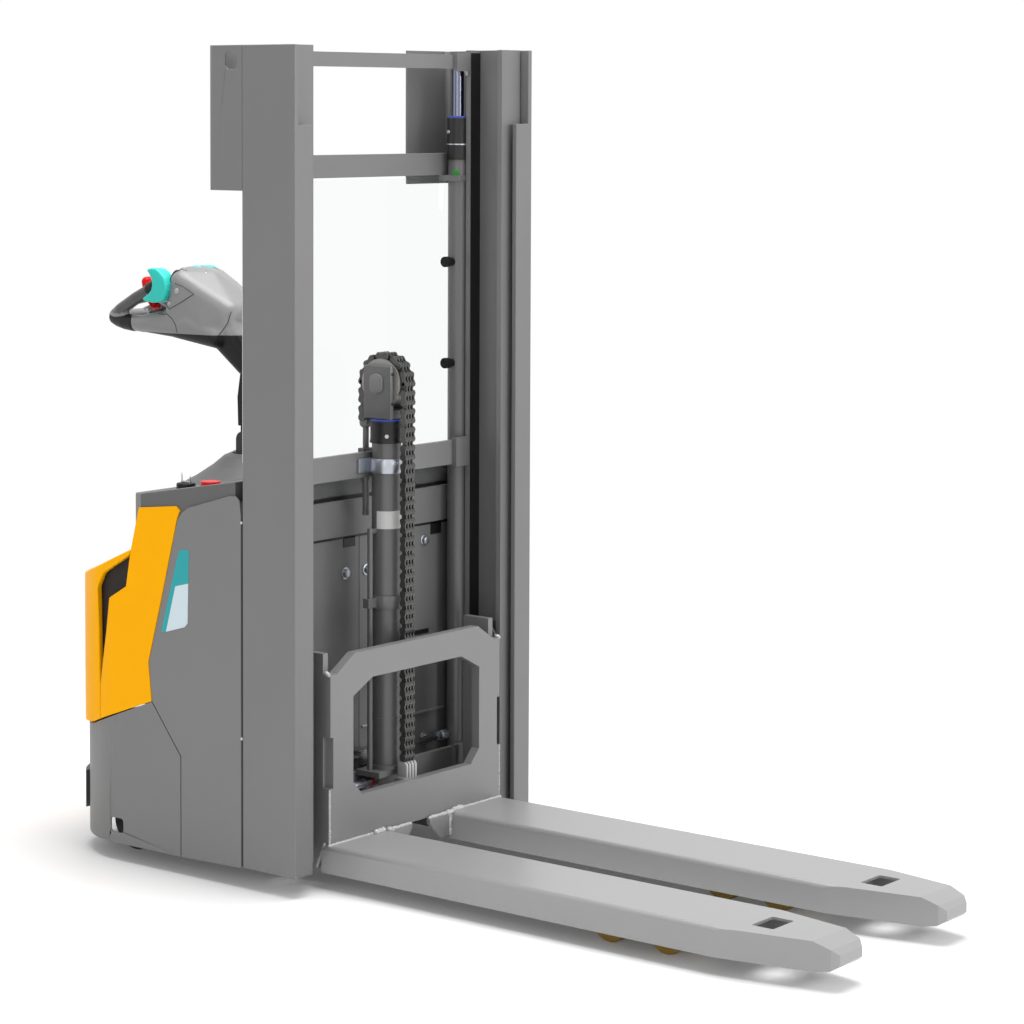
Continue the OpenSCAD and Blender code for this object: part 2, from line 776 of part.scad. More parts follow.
// Upper clamp on the middle bar and lower clamp for the pipe
module cylinder_clamps() {
    color([0.75, 0.76, 0.78]) {
        difference() {
            union() {
                rod_z(middle_bar_z - 16, middle_bar_z + 14, 0, lift_y, free_barrel_r + 4);
                block([-58, bar_y0 - 7, middle_bar_z - 16], [58, bar_y0, middle_bar_z + 14]);
            }
            rod_z(middle_bar_z - 17, middle_bar_z + 15, 0, lift_y, free_barrel_r);
            block([-80, bar_y0, middle_bar_z - 17], [80, bar_y0 + 40, middle_bar_z + 15]);
        }
        difference() {
            union() {
                rod_z(530, 558, 0, lift_y, free_barrel_r + 5);
                block([pipe_x - 14, pipe_y - 8, 534], [0, pipe_y + 8, 554]);
            }
            rod_z(529, 559, 0, lift_y, free_barrel_r);
            rod_z(529, 559, pipe_x, pipe_y, pipe_r);
        }
    }
}

// Pair of mast rollers at one height
module mast_rollers(z) {
    color([0.3, 0.3, 0.32]) both_sides()
        roller(mast_roller_x0, mast_roller_x1 - mast_roller_x0, mast_roller_y, z, mast_roller_r, roller_pin_r + running);
}

// Carriage: front plate with its window and side notches, side plates, roller pins and chain anchor
module carriage_frame() {
    w = side_plate_x;
    h = carriage_top;
    n = 9;
    color([0.58, 0.58, 0.59]) union() {
        difference() {
            front_view(face_y, plate_rear) difference() {
                polygon([
                    [-w, carriage_low], [w, carriage_low], [w, 205], [w - n, 205], [w - n, 309], [w, 309],
                    [w, h - 35], [w - 20, h - 35], [w - 76, h], [76 - w, h], [20 - w, h - 35], [-w, h - 35],
                    [-w, 309], [n - w, 309], [n - w, 205], [-w, 205]
                ]);
                polygon([
                    [-window_half + 28, window_low], [window_half - 28, window_low], [window_half, window_low + 30],
                    [window_half, window_high - 31], [window_half - 61, window_high],
                    [61 - window_half, window_high], [-window_half, window_high - 31], [-window_half, window_low + 30]
                ]);
            }
            block([-w - 1, face_y - 1, carriage_low - 1], [w + 1, face_y + 2, fork_top + 0.3]);
        }
        both_sides() {
            block([side_plate_x - side_plate, plate_rear, fork_low], [side_plate_x, side_plate_depth, h + 6]);
            for (z = [lower_roller_z, upper_roller_z])
                rod_x(side_plate_x - 1, carriage_roller_x1, carriage_roller_y, z, roller_pin_r);
        }
        block([-side_plate_x + side_plate, plate_rear, 140], [side_plate_x - side_plate, front_strand_y + 15, 152]);
        block([-24, plate_rear, 152], [24, front_strand_y + 13, 178]);
        block([-chain_w / 2, front_strand_y - 8, 178], [chain_w / 2, front_strand_y + 8, anchor_z]);
    }
}

// One fork: an upturned tub with a tapered nose that covers the support arm
module fork() {
    tip = fork_length;
    start = fork_length - tip_length;
    x0 = fork_x - fork_width / 2;
    x1 = fork_x + fork_width / 2;
    edge = 9;
    module outline(wall, end) {
        k = (end - start) / tip_length;
        half_end = fork_width / 2 + (tip_half - fork_width / 2) * k - wall;
        polygon([
            [x0 + wall, fork_rear], [x1 - wall, fork_rear], [x1 - wall, -start],
            [fork_x + half_end, -end + 12], [fork_x + half_end - 12, -end],
            [fork_x - half_end + 12, -end], [fork_x - half_end, -end + 12], [x0 + wall, -start]
        ]);
    }
    color([0.68, 0.69, 0.7]) difference() {
        intersection() {
            translate([0, 0, fork_low]) linear_extrude(fork_depth) outline(0, tip);
            front_view(-tip, fork_rear) union() {
                translate([x0, fork_low]) square([fork_width, fork_depth - edge]);
                translate([x0 + edge, fork_low]) square([fork_width - 2 * edge, fork_depth]);
                for (x = [x0 + edge, x1 - edge]) translate([x, fork_top - edge]) circle(edge, $fn = 32);
            }
            side_view([
                [fork_rear, fork_low], [fork_rear, carriage_low], [face_y, carriage_low], [face_y, fork_top], [-tip + 46, fork_top], [-tip + 12, fork_top - 12],
                [-tip, fork_top - 22], [-tip, fork_low + 16], [-tip + 14, fork_low + 5], [-tip + 40, fork_low]
            ], x0, x1);
        }
        translate([0, 0, fork_low - 1]) linear_extrude(fork_depth - fork_plate + 1) outline(fork_skirt, tip - 60);
        translate([fork_x, slot_back - tip, fork_low]) linear_extrude(fork_depth + 1) soft_rect(72, 47, 4);
    }
}

// Pair of carriage rollers at one height
module carriage_rollers(z) {
    color([0.3, 0.3, 0.32]) both_sides()
        roller(carriage_roller_x0, carriage_roller_x1 - carriage_roller_x0, carriage_roller_y, z,
            carriage_roller_r, roller_pin_r + running);
}

// Rod of the free lift cylinder with the yoke that carries the sheave
module lift_rod_yoke() {
    wide = 37;
    inside = sheave_half + 2;
    color([0.5, 0.5, 0.51]) difference() {
        union() {
            rod_z(free_head_z - pulley_lift - 21, free_head_top + 10, 0, lift_y, free_rod_r);
            rod_z(free_head_z - pulley_lift - 21, free_head_z - pulley_lift - 1, 0, lift_y, free_rod_r + 5 - running);
            block([-inside - yoke_wall, lift_y - 30, free_head_top + clear], [inside + yoke_wall, lift_y + 30, free_head_top + 20]);
            both_sides() block([inside, lift_y - wide, free_head_top + clear], [inside + yoke_wall, lift_y + wide, yoke_top]);
            rod_x(-inside - yoke_wall - 3, inside + yoke_wall + 3, lift_y, sheave_z, 12);
        }
        both_sides() rod_x(inside + yoke_wall + 1, inside + yoke_wall + 4, lift_y, sheave_z, 8);
    }
    // Stretch of the chain that lies on the sheave
    color([0.12, 0.12, 0.12]) intersection() {
        translate([-chain_w / 2, lift_y, sheave_z]) rotate([0, 90, 0]) difference() {
            cylinder(h = chain_w, r = chain_r + chain_t / 2, $fn = 96);
            translate([0, 0, -1]) cylinder(h = chain_w + 2, r = chain_r - chain_t / 2, $fn = 96);
        }
        block([-chain_w, lift_y - 90, sheave_z], [chain_w, lift_y + 90, sheave_z + 90]);
    }
}

// Grooved sheave that the chain runs over
module chain_sheave() {
    rim = chain_r - chain_t / 2 - clear;
    color([0.5, 0.48, 0.45]) translate([-sheave_half, lift_y, sheave_z]) rotate([0, 90, 0])
        rotate_extrude($fn = 96) polygon([
            [12 + running, 0], [rim + 3, 0], [rim + 3, 3], [rim, 3.5], [rim, 2 * sheave_half - 3.5],
            [rim + 3, 2 * sheave_half - 3], [rim + 3, 2 * sheave_half], [12 + running, 2 * sheave_half]
        ]);
}

// Straight chain strand between two heights
module chain_strand(y, z0, z1) {
    color([0.12, 0.12, 0.12])
        block([-chain_w / 2, y - chain_t / 2, z0], [chain_w / 2, y + chain_t / 2, z1]);
}

// Steered drive unit: motor, turntable neck, gear case, column and tilt clevis
module drive_unit() {
    case_x = drive_wheel_w / 2 + 4;
    axle_z = drive_wheel_d / 2;
    cheek = 12;
    color([0.15, 0.15, 0.16]) {
        union() {
            rod_z(house_top + clear, 465, 0, steer_y, 75);
            rod_z(house_top - 30, house_top + 5, 0, steer_y, 60 - running);
            rod_z(house_top - 25, house_top - 10 - clear, 0, steer_y, 100);
            block([-case_x - 38, steer_y - 60, axle_z - 45], [-case_x, steer_y + 60, house_top - 20]);
            rod_x(-case_x - 2, drive_wheel_w / 2, steer_y, axle_z, 20);
            rod_z(465, cowl_top - 10, 0, steer_y, 25);
            rod_z(cowl_top - 12, cowl_top + 3, 0, steer_y, 40);
            for (s = [-1, 1]) {
                rod_x(s * 28 - cheek / 2, s * 28 + cheek / 2, tilt_y, tilt_z, 18);
                block([s * 28 - cheek / 2, tilt_y - 18, cowl_top], [s * 28 + cheek / 2, tilt_y + 18, tilt_z]);
            }
            rod_x(-34, 34, tilt_y, tilt_z, 9);
        }
    }
}

// Drive wheel: tyre on its hub
module drive_wheel() {
    r = drive_wheel_d / 2;
    w = drive_wheel_w;
    color([0.35, 0.16, 0.1]) translate([-w / 2, steer_y, r]) rotate([0, 90, 0]) rotate_extrude($fn = 120)
        polygon([[20 + running, 0], [r - 28, 0], [r - 24, 3], [r - 4, 3], [r, 7], [r, w - 7], [r - 4, w - 3],
            [r - 24, w - 3], [r - 28, w], [r - 45, w], [r - 50, w - 12], [40, w - 12], [36, w], [20 + running, w]]);
}

// Castor: fork with its stem
module castor_fork() {
    side = castor_w / 2 + 2;
    axle_y = castor_y + castor_trail;
    axle_z = castor_d / 2;
    crown = castor_d + 8;
    color([0.6, 0.61, 0.62]) union() {
        rod_z(crown, castor_shelf + 14, castor_x, castor_y, 12);
        rod_z(castor_shelf + clear, castor_shelf + 14, castor_x, castor_y, 20);
        rod_z(crown, castor_shelf - 10 - clear, castor_x, castor_y, 34);
        block([castor_x - side - 5, castor_y - 26, crown], [castor_x + side + 5, axle_y + 14, crown + 6]);
        for (x = [castor_x - side - 5, castor_x + side]) side_view([
            [castor_y - 26, crown + 3], [axle_y + 14, crown + 3], [axle_y + 14, axle_z - 10], [axle_y + 4, axle_z - 18],
            [axle_y - 8, axle_z - 18], [axle_y - 16, axle_z - 8]
        ], x, x + 5);
        rod_x(castor_x - side - 9, castor_x + side + 9, axle_y, axle_z, 8);
    }
}

// Castor wheel
module castor_wheel() {
    color([0.2, 0.2, 0.2])
        roller(castor_x - castor_w / 2, castor_w, castor_y + castor_trail, castor_d / 2, castor_d / 2, 8 + running);
}

// Bogie that carries the two load rollers of one arm
module bogie() {
    h = load_roller_pitch / 2;
    color([0.4, 0.4, 0.41]) union() {
        difference() {
            for (x = [fork_x - bogie_half, fork_x + bogie_half - bogie_wall])
                side_view([
                    [-load_distance - h - 12, load_axle_z - 12], [-load_distance - h - 12, load_axle_z + 12],
                    [-load_distance - 20, load_axle_z + 18], [-load_distance + 20, load_axle_z + 18],
                    [-load_distance + h + 12, load_axle_z + 12], [-load_distance + h + 12, load_axle_z - 12],
                    [-load_distance + 20, load_axle_z - 16], [-load_distance - 20, load_axle_z - 16]
                ], x, x + bogie_wall);
            rod_x(fork_x - bogie_half - 1, fork_x + bogie_half + 1, -load_distance, load_axle_z, pivot_r + running);
        }
        for (s = [-1, 1]) rod_x(fork_x - bogie_half, fork_x + bogie_half, -load_distance + s * h, load_axle_z, pivot_r);
    }
}

// Load roller on the front (-1) or rear (1) axle of a bogie
module load_roller(s) {
    color([0.6, 0.47, 0.16])
        roller(fork_x - load_roller_w / 2, load_roller_w, -load_distance + s * load_roller_pitch / 2, load_axle_z,
            load_roller_d / 2, pivot_r + running);
}

// Tiller arm from the tilt pin to the head
module tiller_arm() {
    color([0.15, 0.15, 0.16]) difference() {
        union() {
            rod_x(-21, 21, tilt_y, tilt_z, 18);
            block([-21, tilt_y - 17, tilt_z], [21, tilt_y + 16, tilt_z + 40]);
            side_view([[tilt_y - 30, tilt_z + 30], [tilt_y - 40, head_low], [tilt_y + 10, head_low],
                [tilt_y + 18, head_low - 50], [tilt_y + 16, tilt_z + 30]], -29, 29);
        }
        rod_x(-22, 22, tilt_y, tilt_z, 9 + running);
    }
}

// Tiller head with its closed grip loop
module tiller_head() {
    module ball(x, y, z, r) {
        for (s = [-1, 1]) translate([s * x, y, z]) sphere(r, $fn = 20);
    }
    module one(x, y, z, r) {
        translate([x, y, z]) sphere(r, $fn = 20);
    }
    module limb(s, a, b) {
        hull() {
            one(s * a[0], grip_y - a[1], a[2], a[3]);
            one(s * b[0], grip_y - b[1], b[2], b[3]);
        }
    }
    color([0.25, 0.25, 0.26]) difference() {
        union() {
            hull() {
                ball(12, tilt_y - 16, 1000, 22);
                ball(12, tilt_y - 6, 1000, 22);
                ball(34, grip_y - 340, 1146, 30);
                ball(50, grip_y - 267, 1184, 30);
                ball(58, grip_y - 217, 1196, 26);
                ball(62, grip_y - 197, 1096, 24);
                ball(40, grip_y - 317, 1066, 22);
            }
            hull() {
                ball(14, grip_y - 200, 1192, 24);
                ball(14, grip_y - 103, 1168, 26);
                ball(14, grip_y - 190, 1130, 22);
            }
            for (s = [-1, 1]) {
                limb(s, [28, 143, 1166, 17], [64, 60, 1136, 17]);
                limb(s, [64, 60, 1136, 17], [50, 10, grip_z, grip_r]);
                limb(s, [60, 197, 1096, 24], [64, 117, 1096, 20]);
                limb(s, [64, 117, 1096, 20], [62, 51, 1103, 17]);
                limb(s, [62, 51, 1103, 17], [50, 10, grip_z, grip_r]);
            }
            hull() {
                ball(50, grip_y - 10, grip_z, grip_r);
                one(0, grip_y, grip_z, grip_r);
            }
        }
        block([-200, 300, 900], [200, 700, head_low]);
        translate([0, rocker_y, rocker_z - 17]) linear_extrude(60) square([34, 52], center = true);
        rod_x(-21, 21, rocker_y, rocker_z, 3 + running);
        rod_x(-60, 60, wing_y, wing_z, 8 + running);
        both_sides() rod_x(46, 130, wing_y, wing_z, 43);
        block([-24, button_y - 5, 1143], [24, button_y + 40, 1197]);
        rod_y(button_y - 22, button_y, 0, button_z, 6 + running);
    }
}

// Speed control wings on their common shaft
module speed_butterfly() {
    module wing(s) {
        hull() {
            translate([s * 54, wing_y, wing_z]) rotate([0, 90, 0]) cylinder(h = 10, r = 18, center = true, $fn = 48);
            translate([s * 84, wing_y, wing_z]) rotate([0, 90, 0]) cylinder(h = 14, r = 34, center = true, $fn = 48);
        }
    }
    color([0.2, 0.72, 0.7]) union() {
        wing(-1);
        wing(1);
        rod_x(-50, 50, wing_y, wing_z, 8);
    }
}

// Red reversing button at the end of the head
module belly_button() {
    color([0.85, 0.12, 0.12]) union() {
        block([-20, button_y + 0.5, 1148], [20, button_y + 12, 1192]);
        rod_y(button_y - 16, button_y + 1, 0, button_z, 6);
    }
}

// Rocker for lifting and lowering
module lift_rocker() {
    y = rocker_y;
    z = rocker_z;
    color([0.15, 0.65, 0.65]) union() {
        side_view([[y - 15, z - 6], [y + 15, z - 6], [y + 13, z + 19], [y, z + 15], [y - 13, z + 19]], -14, 14);
        rod_x(-20, 20, y, z, 3);
    }
}

translate([0, origin_y, 0]) chassis_frame();
translate([0, origin_y, 0]) mirror([1, 0, 0]) support_arm();  // support_arm_left
translate([0, origin_y, 0]) support_arm();  // support_arm_right
translate([0, origin_y, 0]) mirror([1, 0, 0]) outer_channel();  // outer_mast_left
translate([0, origin_y, 0]) outer_channel();  // outer_mast_right
translate([0, origin_y, 0]) outer_mast_plates();
translate([0, origin_y, 0]) lift_cylinders();
translate([0, origin_y, 0]) hand_guard_screen();
translate([0, origin_y, 0]) screen_knobs();
translate([0, origin_y, 0]) mirror([1, 0, 0]) side_cover();  // side_cover_left
translate([0, origin_y, 0]) side_cover();  // side_cover_right
translate([0, origin_y, 0]) lower_cover();
translate([0, origin_y, 0]) mirror([1, 0, 0]) yellow_panel();  // yellow_panel_left
translate([0, origin_y, 0]) yellow_panel();  // yellow_panel_right
translate([0, origin_y, 0]) rear_bow();
translate([0, origin_y, 0]) storage_tray();
translate([0, origin_y, 0]) deck_cover();
translate([0, origin_y, 0]) tiller_cowl();
translate([0, origin_y, 0]) front_panel();
translate([0, origin_y, 0]) battery();
translate([0, origin_y, 0]) pump_unit();
translate([0, origin_y, 0]) motor_controller();
translate([0, origin_y, 0]) hydraulic_pipes();
translate([0, origin_y, 0]) key_switch();
translate([0, origin_y, 0]) ignition_key();
translate([0, origin_y, 0]) emergency_stop();
translate([0, origin_y, 0]) mirror([1, 0, 0]) inner_channel();  // inner_mast_left
translate([0, origin_y, 0]) inner_channel();  // inner_mast_right
translate([0, origin_y, 0]) inner_mast_bars();
translate([0, origin_y, 0]) piston_rods();
translate([0, origin_y, 0]) free_lift_barrel();
translate([0, origin_y, 0]) cylinder_clamps();
translate([0, origin_y, 0]) mast_rollers(mast_roller_low);  // mast_rollers_lower
translate([0, origin_y, 0]) mast_rollers(mast_roller_high);  // mast_rollers_upper
translate([0, origin_y, 0]) carriage_frame();
translate([0, origin_y, 0]) mirror([1, 0, 0]) fork();  // fork_left
translate([0, origin_y, 0]) fork();  // fork_right
translate([0, origin_y, 0]) carriage_rollers(lower_roller_z);  // carriage_rollers_lower
translate([0, origin_y, 0]) carriage_rollers(upper_roller_z);  // carriage_rollers_upper
translate([0, origin_y, 0]) lift_rod_yoke();
translate([0, origin_y, 0]) chain_sheave();
translate([0, origin_y, 0]) chain_strand(front_strand_y, anchor_z, sheave_z);  // chain_front
translate([0, origin_y, 0]) chain_strand(rear_strand_y, rear_anchor_z, sheave_z);  // chain_rear
translate([0, origin_y, 0]) drive_unit();
translate([0, origin_y, 0]) drive_wheel();
translate([0, origin_y, 0]) mirror([1, 0, 0]) castor_fork();  // castor_fork_left
translate([0, origin_y, 0]) castor_fork();  // castor_fork_right
translate([0, origin_y, 0]) mirror([1, 0, 0]) castor_wheel();  // castor_wheel_left
translate([0, origin_y, 0]) castor_wheel();  // castor_wheel_right
translate([0, origin_y, 0]) mirror([1, 0, 0]) bogie();  // bogie_left
translate([0, origin_y, 0]) bogie();  // bogie_right
translate([0, origin_y, 0]) mirror([1, 0, 0]) load_roller(-1);  // load_roller_left_front
translate([0, origin_y, 0]) mirror([1, 0, 0]) load_roller(1);  // load_roller_left_rear
translate([0, origin_y, 0]) load_roller(-1);  // load_roller_right_front
translate([0, origin_y, 0]) load_roller(1);  // load_roller_right_rear
translate([0, origin_y, 0]) tiller_arm();
translate([0, origin_y, 0]) tiller_head();
translate([0, origin_y, 0]) speed_butterfly();
translate([0, origin_y, 0]) belly_button();
translate([0, origin_y, 0]) lift_rocker();
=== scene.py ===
# %% [markdown]
# # Electric pedestrian stacker
# The truck has a tall two-stage mast, a fork carriage, two support arms with small rollers, a body with
# yellow covers, and a tiller with a closed grip loop. Its measured solids come from the CAD model. This
# notebook loads them as a fixed frame, gives every surface its finish, and models the finer forms over them.

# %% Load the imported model
import math
import random
from contextlib import contextmanager

import bmesh
import bpy
from mathutils import Matrix, Vector


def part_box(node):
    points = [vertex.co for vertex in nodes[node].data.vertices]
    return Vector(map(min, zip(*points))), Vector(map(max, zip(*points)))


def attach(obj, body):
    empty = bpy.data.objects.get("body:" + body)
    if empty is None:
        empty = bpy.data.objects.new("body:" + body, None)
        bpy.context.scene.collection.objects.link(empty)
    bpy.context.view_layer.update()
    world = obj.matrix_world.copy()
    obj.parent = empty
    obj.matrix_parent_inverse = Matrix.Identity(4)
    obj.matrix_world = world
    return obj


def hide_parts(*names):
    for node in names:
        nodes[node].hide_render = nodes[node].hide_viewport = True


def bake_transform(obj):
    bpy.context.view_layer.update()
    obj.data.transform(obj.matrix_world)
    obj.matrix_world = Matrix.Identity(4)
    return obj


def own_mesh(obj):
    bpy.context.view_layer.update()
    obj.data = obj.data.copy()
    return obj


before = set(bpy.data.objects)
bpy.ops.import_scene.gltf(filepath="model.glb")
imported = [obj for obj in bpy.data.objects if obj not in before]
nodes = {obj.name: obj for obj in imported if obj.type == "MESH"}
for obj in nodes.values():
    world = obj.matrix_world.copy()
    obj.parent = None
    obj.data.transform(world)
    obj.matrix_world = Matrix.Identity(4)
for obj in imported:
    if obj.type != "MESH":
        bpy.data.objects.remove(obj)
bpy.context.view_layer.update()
random.seed(7)

# %% [markdown]
# ## Lengths
# The CAD source measures along the truck from a plane just before the fork carriage, in millimetres. The
# same way of counting is kept here: `at` turns such a place into metres in the frame of the whole truck.

# %% Places on the truck
FACE_SETBACK = 12
ZERO_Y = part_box("carriage_frame")[0].y - FACE_SETBACK / 1000
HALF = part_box("outer_mast_right")[1].x * 1000
SIDES = ((-1, "left"), (1, "right"))


def at(x, y, z):
    """A place in millimetres, y counted from the zero plane, as a vector in metres."""
    return Vector((x / 1000, y / 1000 + ZERO_Y, z / 1000))


print("zero plane at y", round(ZERO_Y, 4), "half width", round(HALF, 1))

# %% [markdown]
# ## Camera
# The photograph was taken from the front left, a little below the top of the mast, with a long lens. The
# mast's edges stay upright in it, so the camera looks almost level and its lens is shifted down.

# %% Camera
PIXELS = 1024
FOCAL_PIXELS = 2971.0
CENTRE_PIXEL = (431.5, 287.8)
SENSOR = 36
CAMERA_PLACE = (-4746.7, -3863.7, 1576.5)
yaw, pitch, roll = (math.radians(a) for a in (51.013, -3.472, 0.137))

camera_data = bpy.data.cameras.new("photo_camera")
camera_data.sensor_width = SENSOR
camera_data.lens = FOCAL_PIXELS / PIXELS * SENSOR
camera_data.shift_x = (PIXELS / 2 - CENTRE_PIXEL[0]) / PIXELS
camera_data.shift_y = (CENTRE_PIXEL[1] - PIXELS / 2) / PIXELS
camera_data.clip_end = 60
camera = bpy.data.objects.new("photo_camera", camera_data)
bpy.context.scene.collection.objects.link(camera)
look = (Matrix.Rotation(-yaw, 4, "Z") @ Matrix.Rotation(math.pi / 2 + pitch, 4, "X")
        @ Matrix.Rotation(roll, 4, "Z"))
camera.matrix_world = Matrix.Translation(at(*CAMERA_PLACE)) @ look
bpy.context.scene.camera = camera
print("lens", round(camera_data.lens, 1),
      "shift", round(camera_data.shift_x, 3), round(camera_data.shift_y, 3))

# %% [markdown]
# ## Colours and shader nodes
# Colours are read off as screen values from 0 to 255 and turned into the linear numbers that a shader
# works with. Small helpers add a shader node, join two nodes, and let a noise drive the tone, the gloss or
# the bump of a surface, which keeps the finishes short.


# %% Helpers for finishes
def screen(r, g, b):
    def linear(v):
        v /= 255
        return v / 12.92 if v <= 0.04045 else ((v + 0.055) / 1.055) ** 2.4
    return (linear(r), linear(g), linear(b), 1.0)


def shade(colour, k):
    return tuple(min(1.0, c * k) for c in colour[:3]) + (1.0,)


def add_node(material, kind, **sockets):
    node = material.node_tree.nodes.new(kind)
    for name, value in sockets.items():
        node.inputs[name.replace("_", " ")].default_value = value
    return node


def join(material, source, output, target, socket):
    material.node_tree.links.new(source.outputs[output], target.inputs[socket])


def new_material(name, colour, rough, metallic=0.0, **sockets):
    material = bpy.data.materials.new(name)
    material.use_nodes = True
    shader = material.node_tree.nodes["Principled BSDF"]
    shader.inputs["Base Color"].default_value = colour
    shader.inputs["Roughness"].default_value = rough
    shader.inputs["Metallic"].default_value = metallic
    for key, value in sockets.items():
        shader.inputs[key.replace("_", " ")].default_value = value
    return material, shader


# %% Tone, gloss and bump from a noise
# The Mix node has its colour sockets at these places.
FIRST_COLOUR, SECOND_COLOUR, MIXED_COLOUR = 6, 7, 2


def drifting_tone(material, shader, noise, colour, drift):
    tones = add_node(material, "ShaderNodeMix")
    tones.data_type = "RGBA"
    tones.inputs[FIRST_COLOUR].default_value = shade(colour, 1 - drift)
    tones.inputs[SECOND_COLOUR].default_value = shade(colour, 1 + drift)
    join(material, noise, "Fac", tones, 0)
    join(material, tones, MIXED_COLOUR, shader, "Base Color")


def drifting_gloss(material, shader, noise, low, high):
    gloss = add_node(material, "ShaderNodeMapRange", To_Min=low, To_Max=high)
    join(material, noise, "Fac", gloss, "Value")
    join(material, gloss, "Result", shader, "Roughness")


def fine_relief(material, shader, grain, output, strength, distance):
    bump = add_node(material, "ShaderNodeBump", Strength=strength, Distance=distance)
    join(material, grain, output, bump, "Height")
    join(material, bump, "Normal", shader, "Normal")


# %% [markdown]
# ## Paint
# Sprayed paint on steel is never a flat colour. Close up it has a fine skin like that of an orange, and
# over a hand's width its gloss and tone drift a little. One noise makes the skin through a bump, and a
# broad one mixes two tones and two values of roughness.


# %% Sprayed paint
def sprayed_paint(name, colour, rough=0.42, metallic=0.0, drift=0.05, skin=0.06, grain=900):
    material, shader = new_material(name, colour, rough, metallic)
    place = add_node(material, "ShaderNodeTexCoord")
    broad = add_node(material, "ShaderNodeTexNoise", Scale=5.0, Detail=4.0, Roughness=0.6)
    join(material, place, "Object", broad, "Vector")
    drifting_tone(material, shader, broad, colour, drift)
    drifting_gloss(material, shader, broad, rough - 0.05, rough + 0.07)
    fine = add_node(material, "ShaderNodeTexNoise", Scale=float(grain), Detail=2.0)
    join(material, place, "Object", fine, "Vector")
    fine_relief(material, shader, fine, "Fac", skin, 0.0006)
    return material


# %% [markdown]
# ## Moulded plastic
# The covers, the deck and the tiller are injection moulded. Their tools are spark eroded, which leaves
# a fine pebbled grain that breaks the shine. Small Voronoi cells give that grain, and a broad noise lets
# the tone drift slightly, as large mouldings do.


# %% Grained plastic
def grained_plastic(name, colour, rough=0.45, grain=1400, depth=0.12, drift=0.04, shine=0.4):
    material, shader = new_material(name, colour, rough, Specular_IOR_Level=shine)
    place = add_node(material, "ShaderNodeTexCoord")
    broad = add_node(material, "ShaderNodeTexNoise", Scale=3.0, Detail=3.0)
    join(material, place, "Object", broad, "Vector")
    drifting_tone(material, shader, broad, colour, drift)
    pebbles = add_node(material, "ShaderNodeTexVoronoi", Scale=float(grain))
    join(material, place, "Object", pebbles, "Vector")
    fine_relief(material, shader, pebbles, "Distance", depth, 0.0005)
    return material


# %% [markdown]
# ## Bare metal, rubber and the clear sheet
# Chromed rods are mirrors with a few fine scratches along them, while rollers and clamps are turned or
# zinc plated, so their gloss is broken by streaks. Tyres are matt and mottled. The hand guard is a clear
# polycarbonate sheet: it only shows a slight grey and a few reflections.


# %% Bare metal
STREAK_SCALE = (40.0, 40.0, 900.0)
STREAK_DEPTH = 0.04


def bare_metal(name, colour, rough):
    material, shader = new_material(name, colour, rough, 1.0)
    place = add_node(material, "ShaderNodeTexCoord")
    stretch = add_node(material, "ShaderNodeMapping", Scale=STREAK_SCALE)
    join(material, place, "Object", stretch, "Vector")
    streaks = add_node(material, "ShaderNodeTexNoise", Scale=1.0, Detail=3.0)
    join(material, stretch, "Vector", streaks, "Vector")
    drifting_gloss(material, shader, streaks, max(0.03, rough - 0.1), rough + 0.12)
    fine_relief(material, shader, streaks, "Fac", STREAK_DEPTH, 0.0004)
    return material


# %% Clear sheet
def clear_sheet(name):
    material, shader = new_material(name, screen(250, 251, 251), 0.03, Transmission_Weight=1.0, IOR=1.1)
    place = add_node(material, "ShaderNodeTexCoord")
    haze = add_node(material, "ShaderNodeTexNoise", Scale=9.0, Detail=5.0)
    join(material, place, "Object", haze, "Vector")
    drifting_gloss(material, shader, haze, 0.015, 0.06)
    return material


# %% [markdown]
# ## The finishes of this truck
# Each finish is named for what it covers. The greys were read from the photograph and set a little
# brighter or darker where light or shade had changed them.

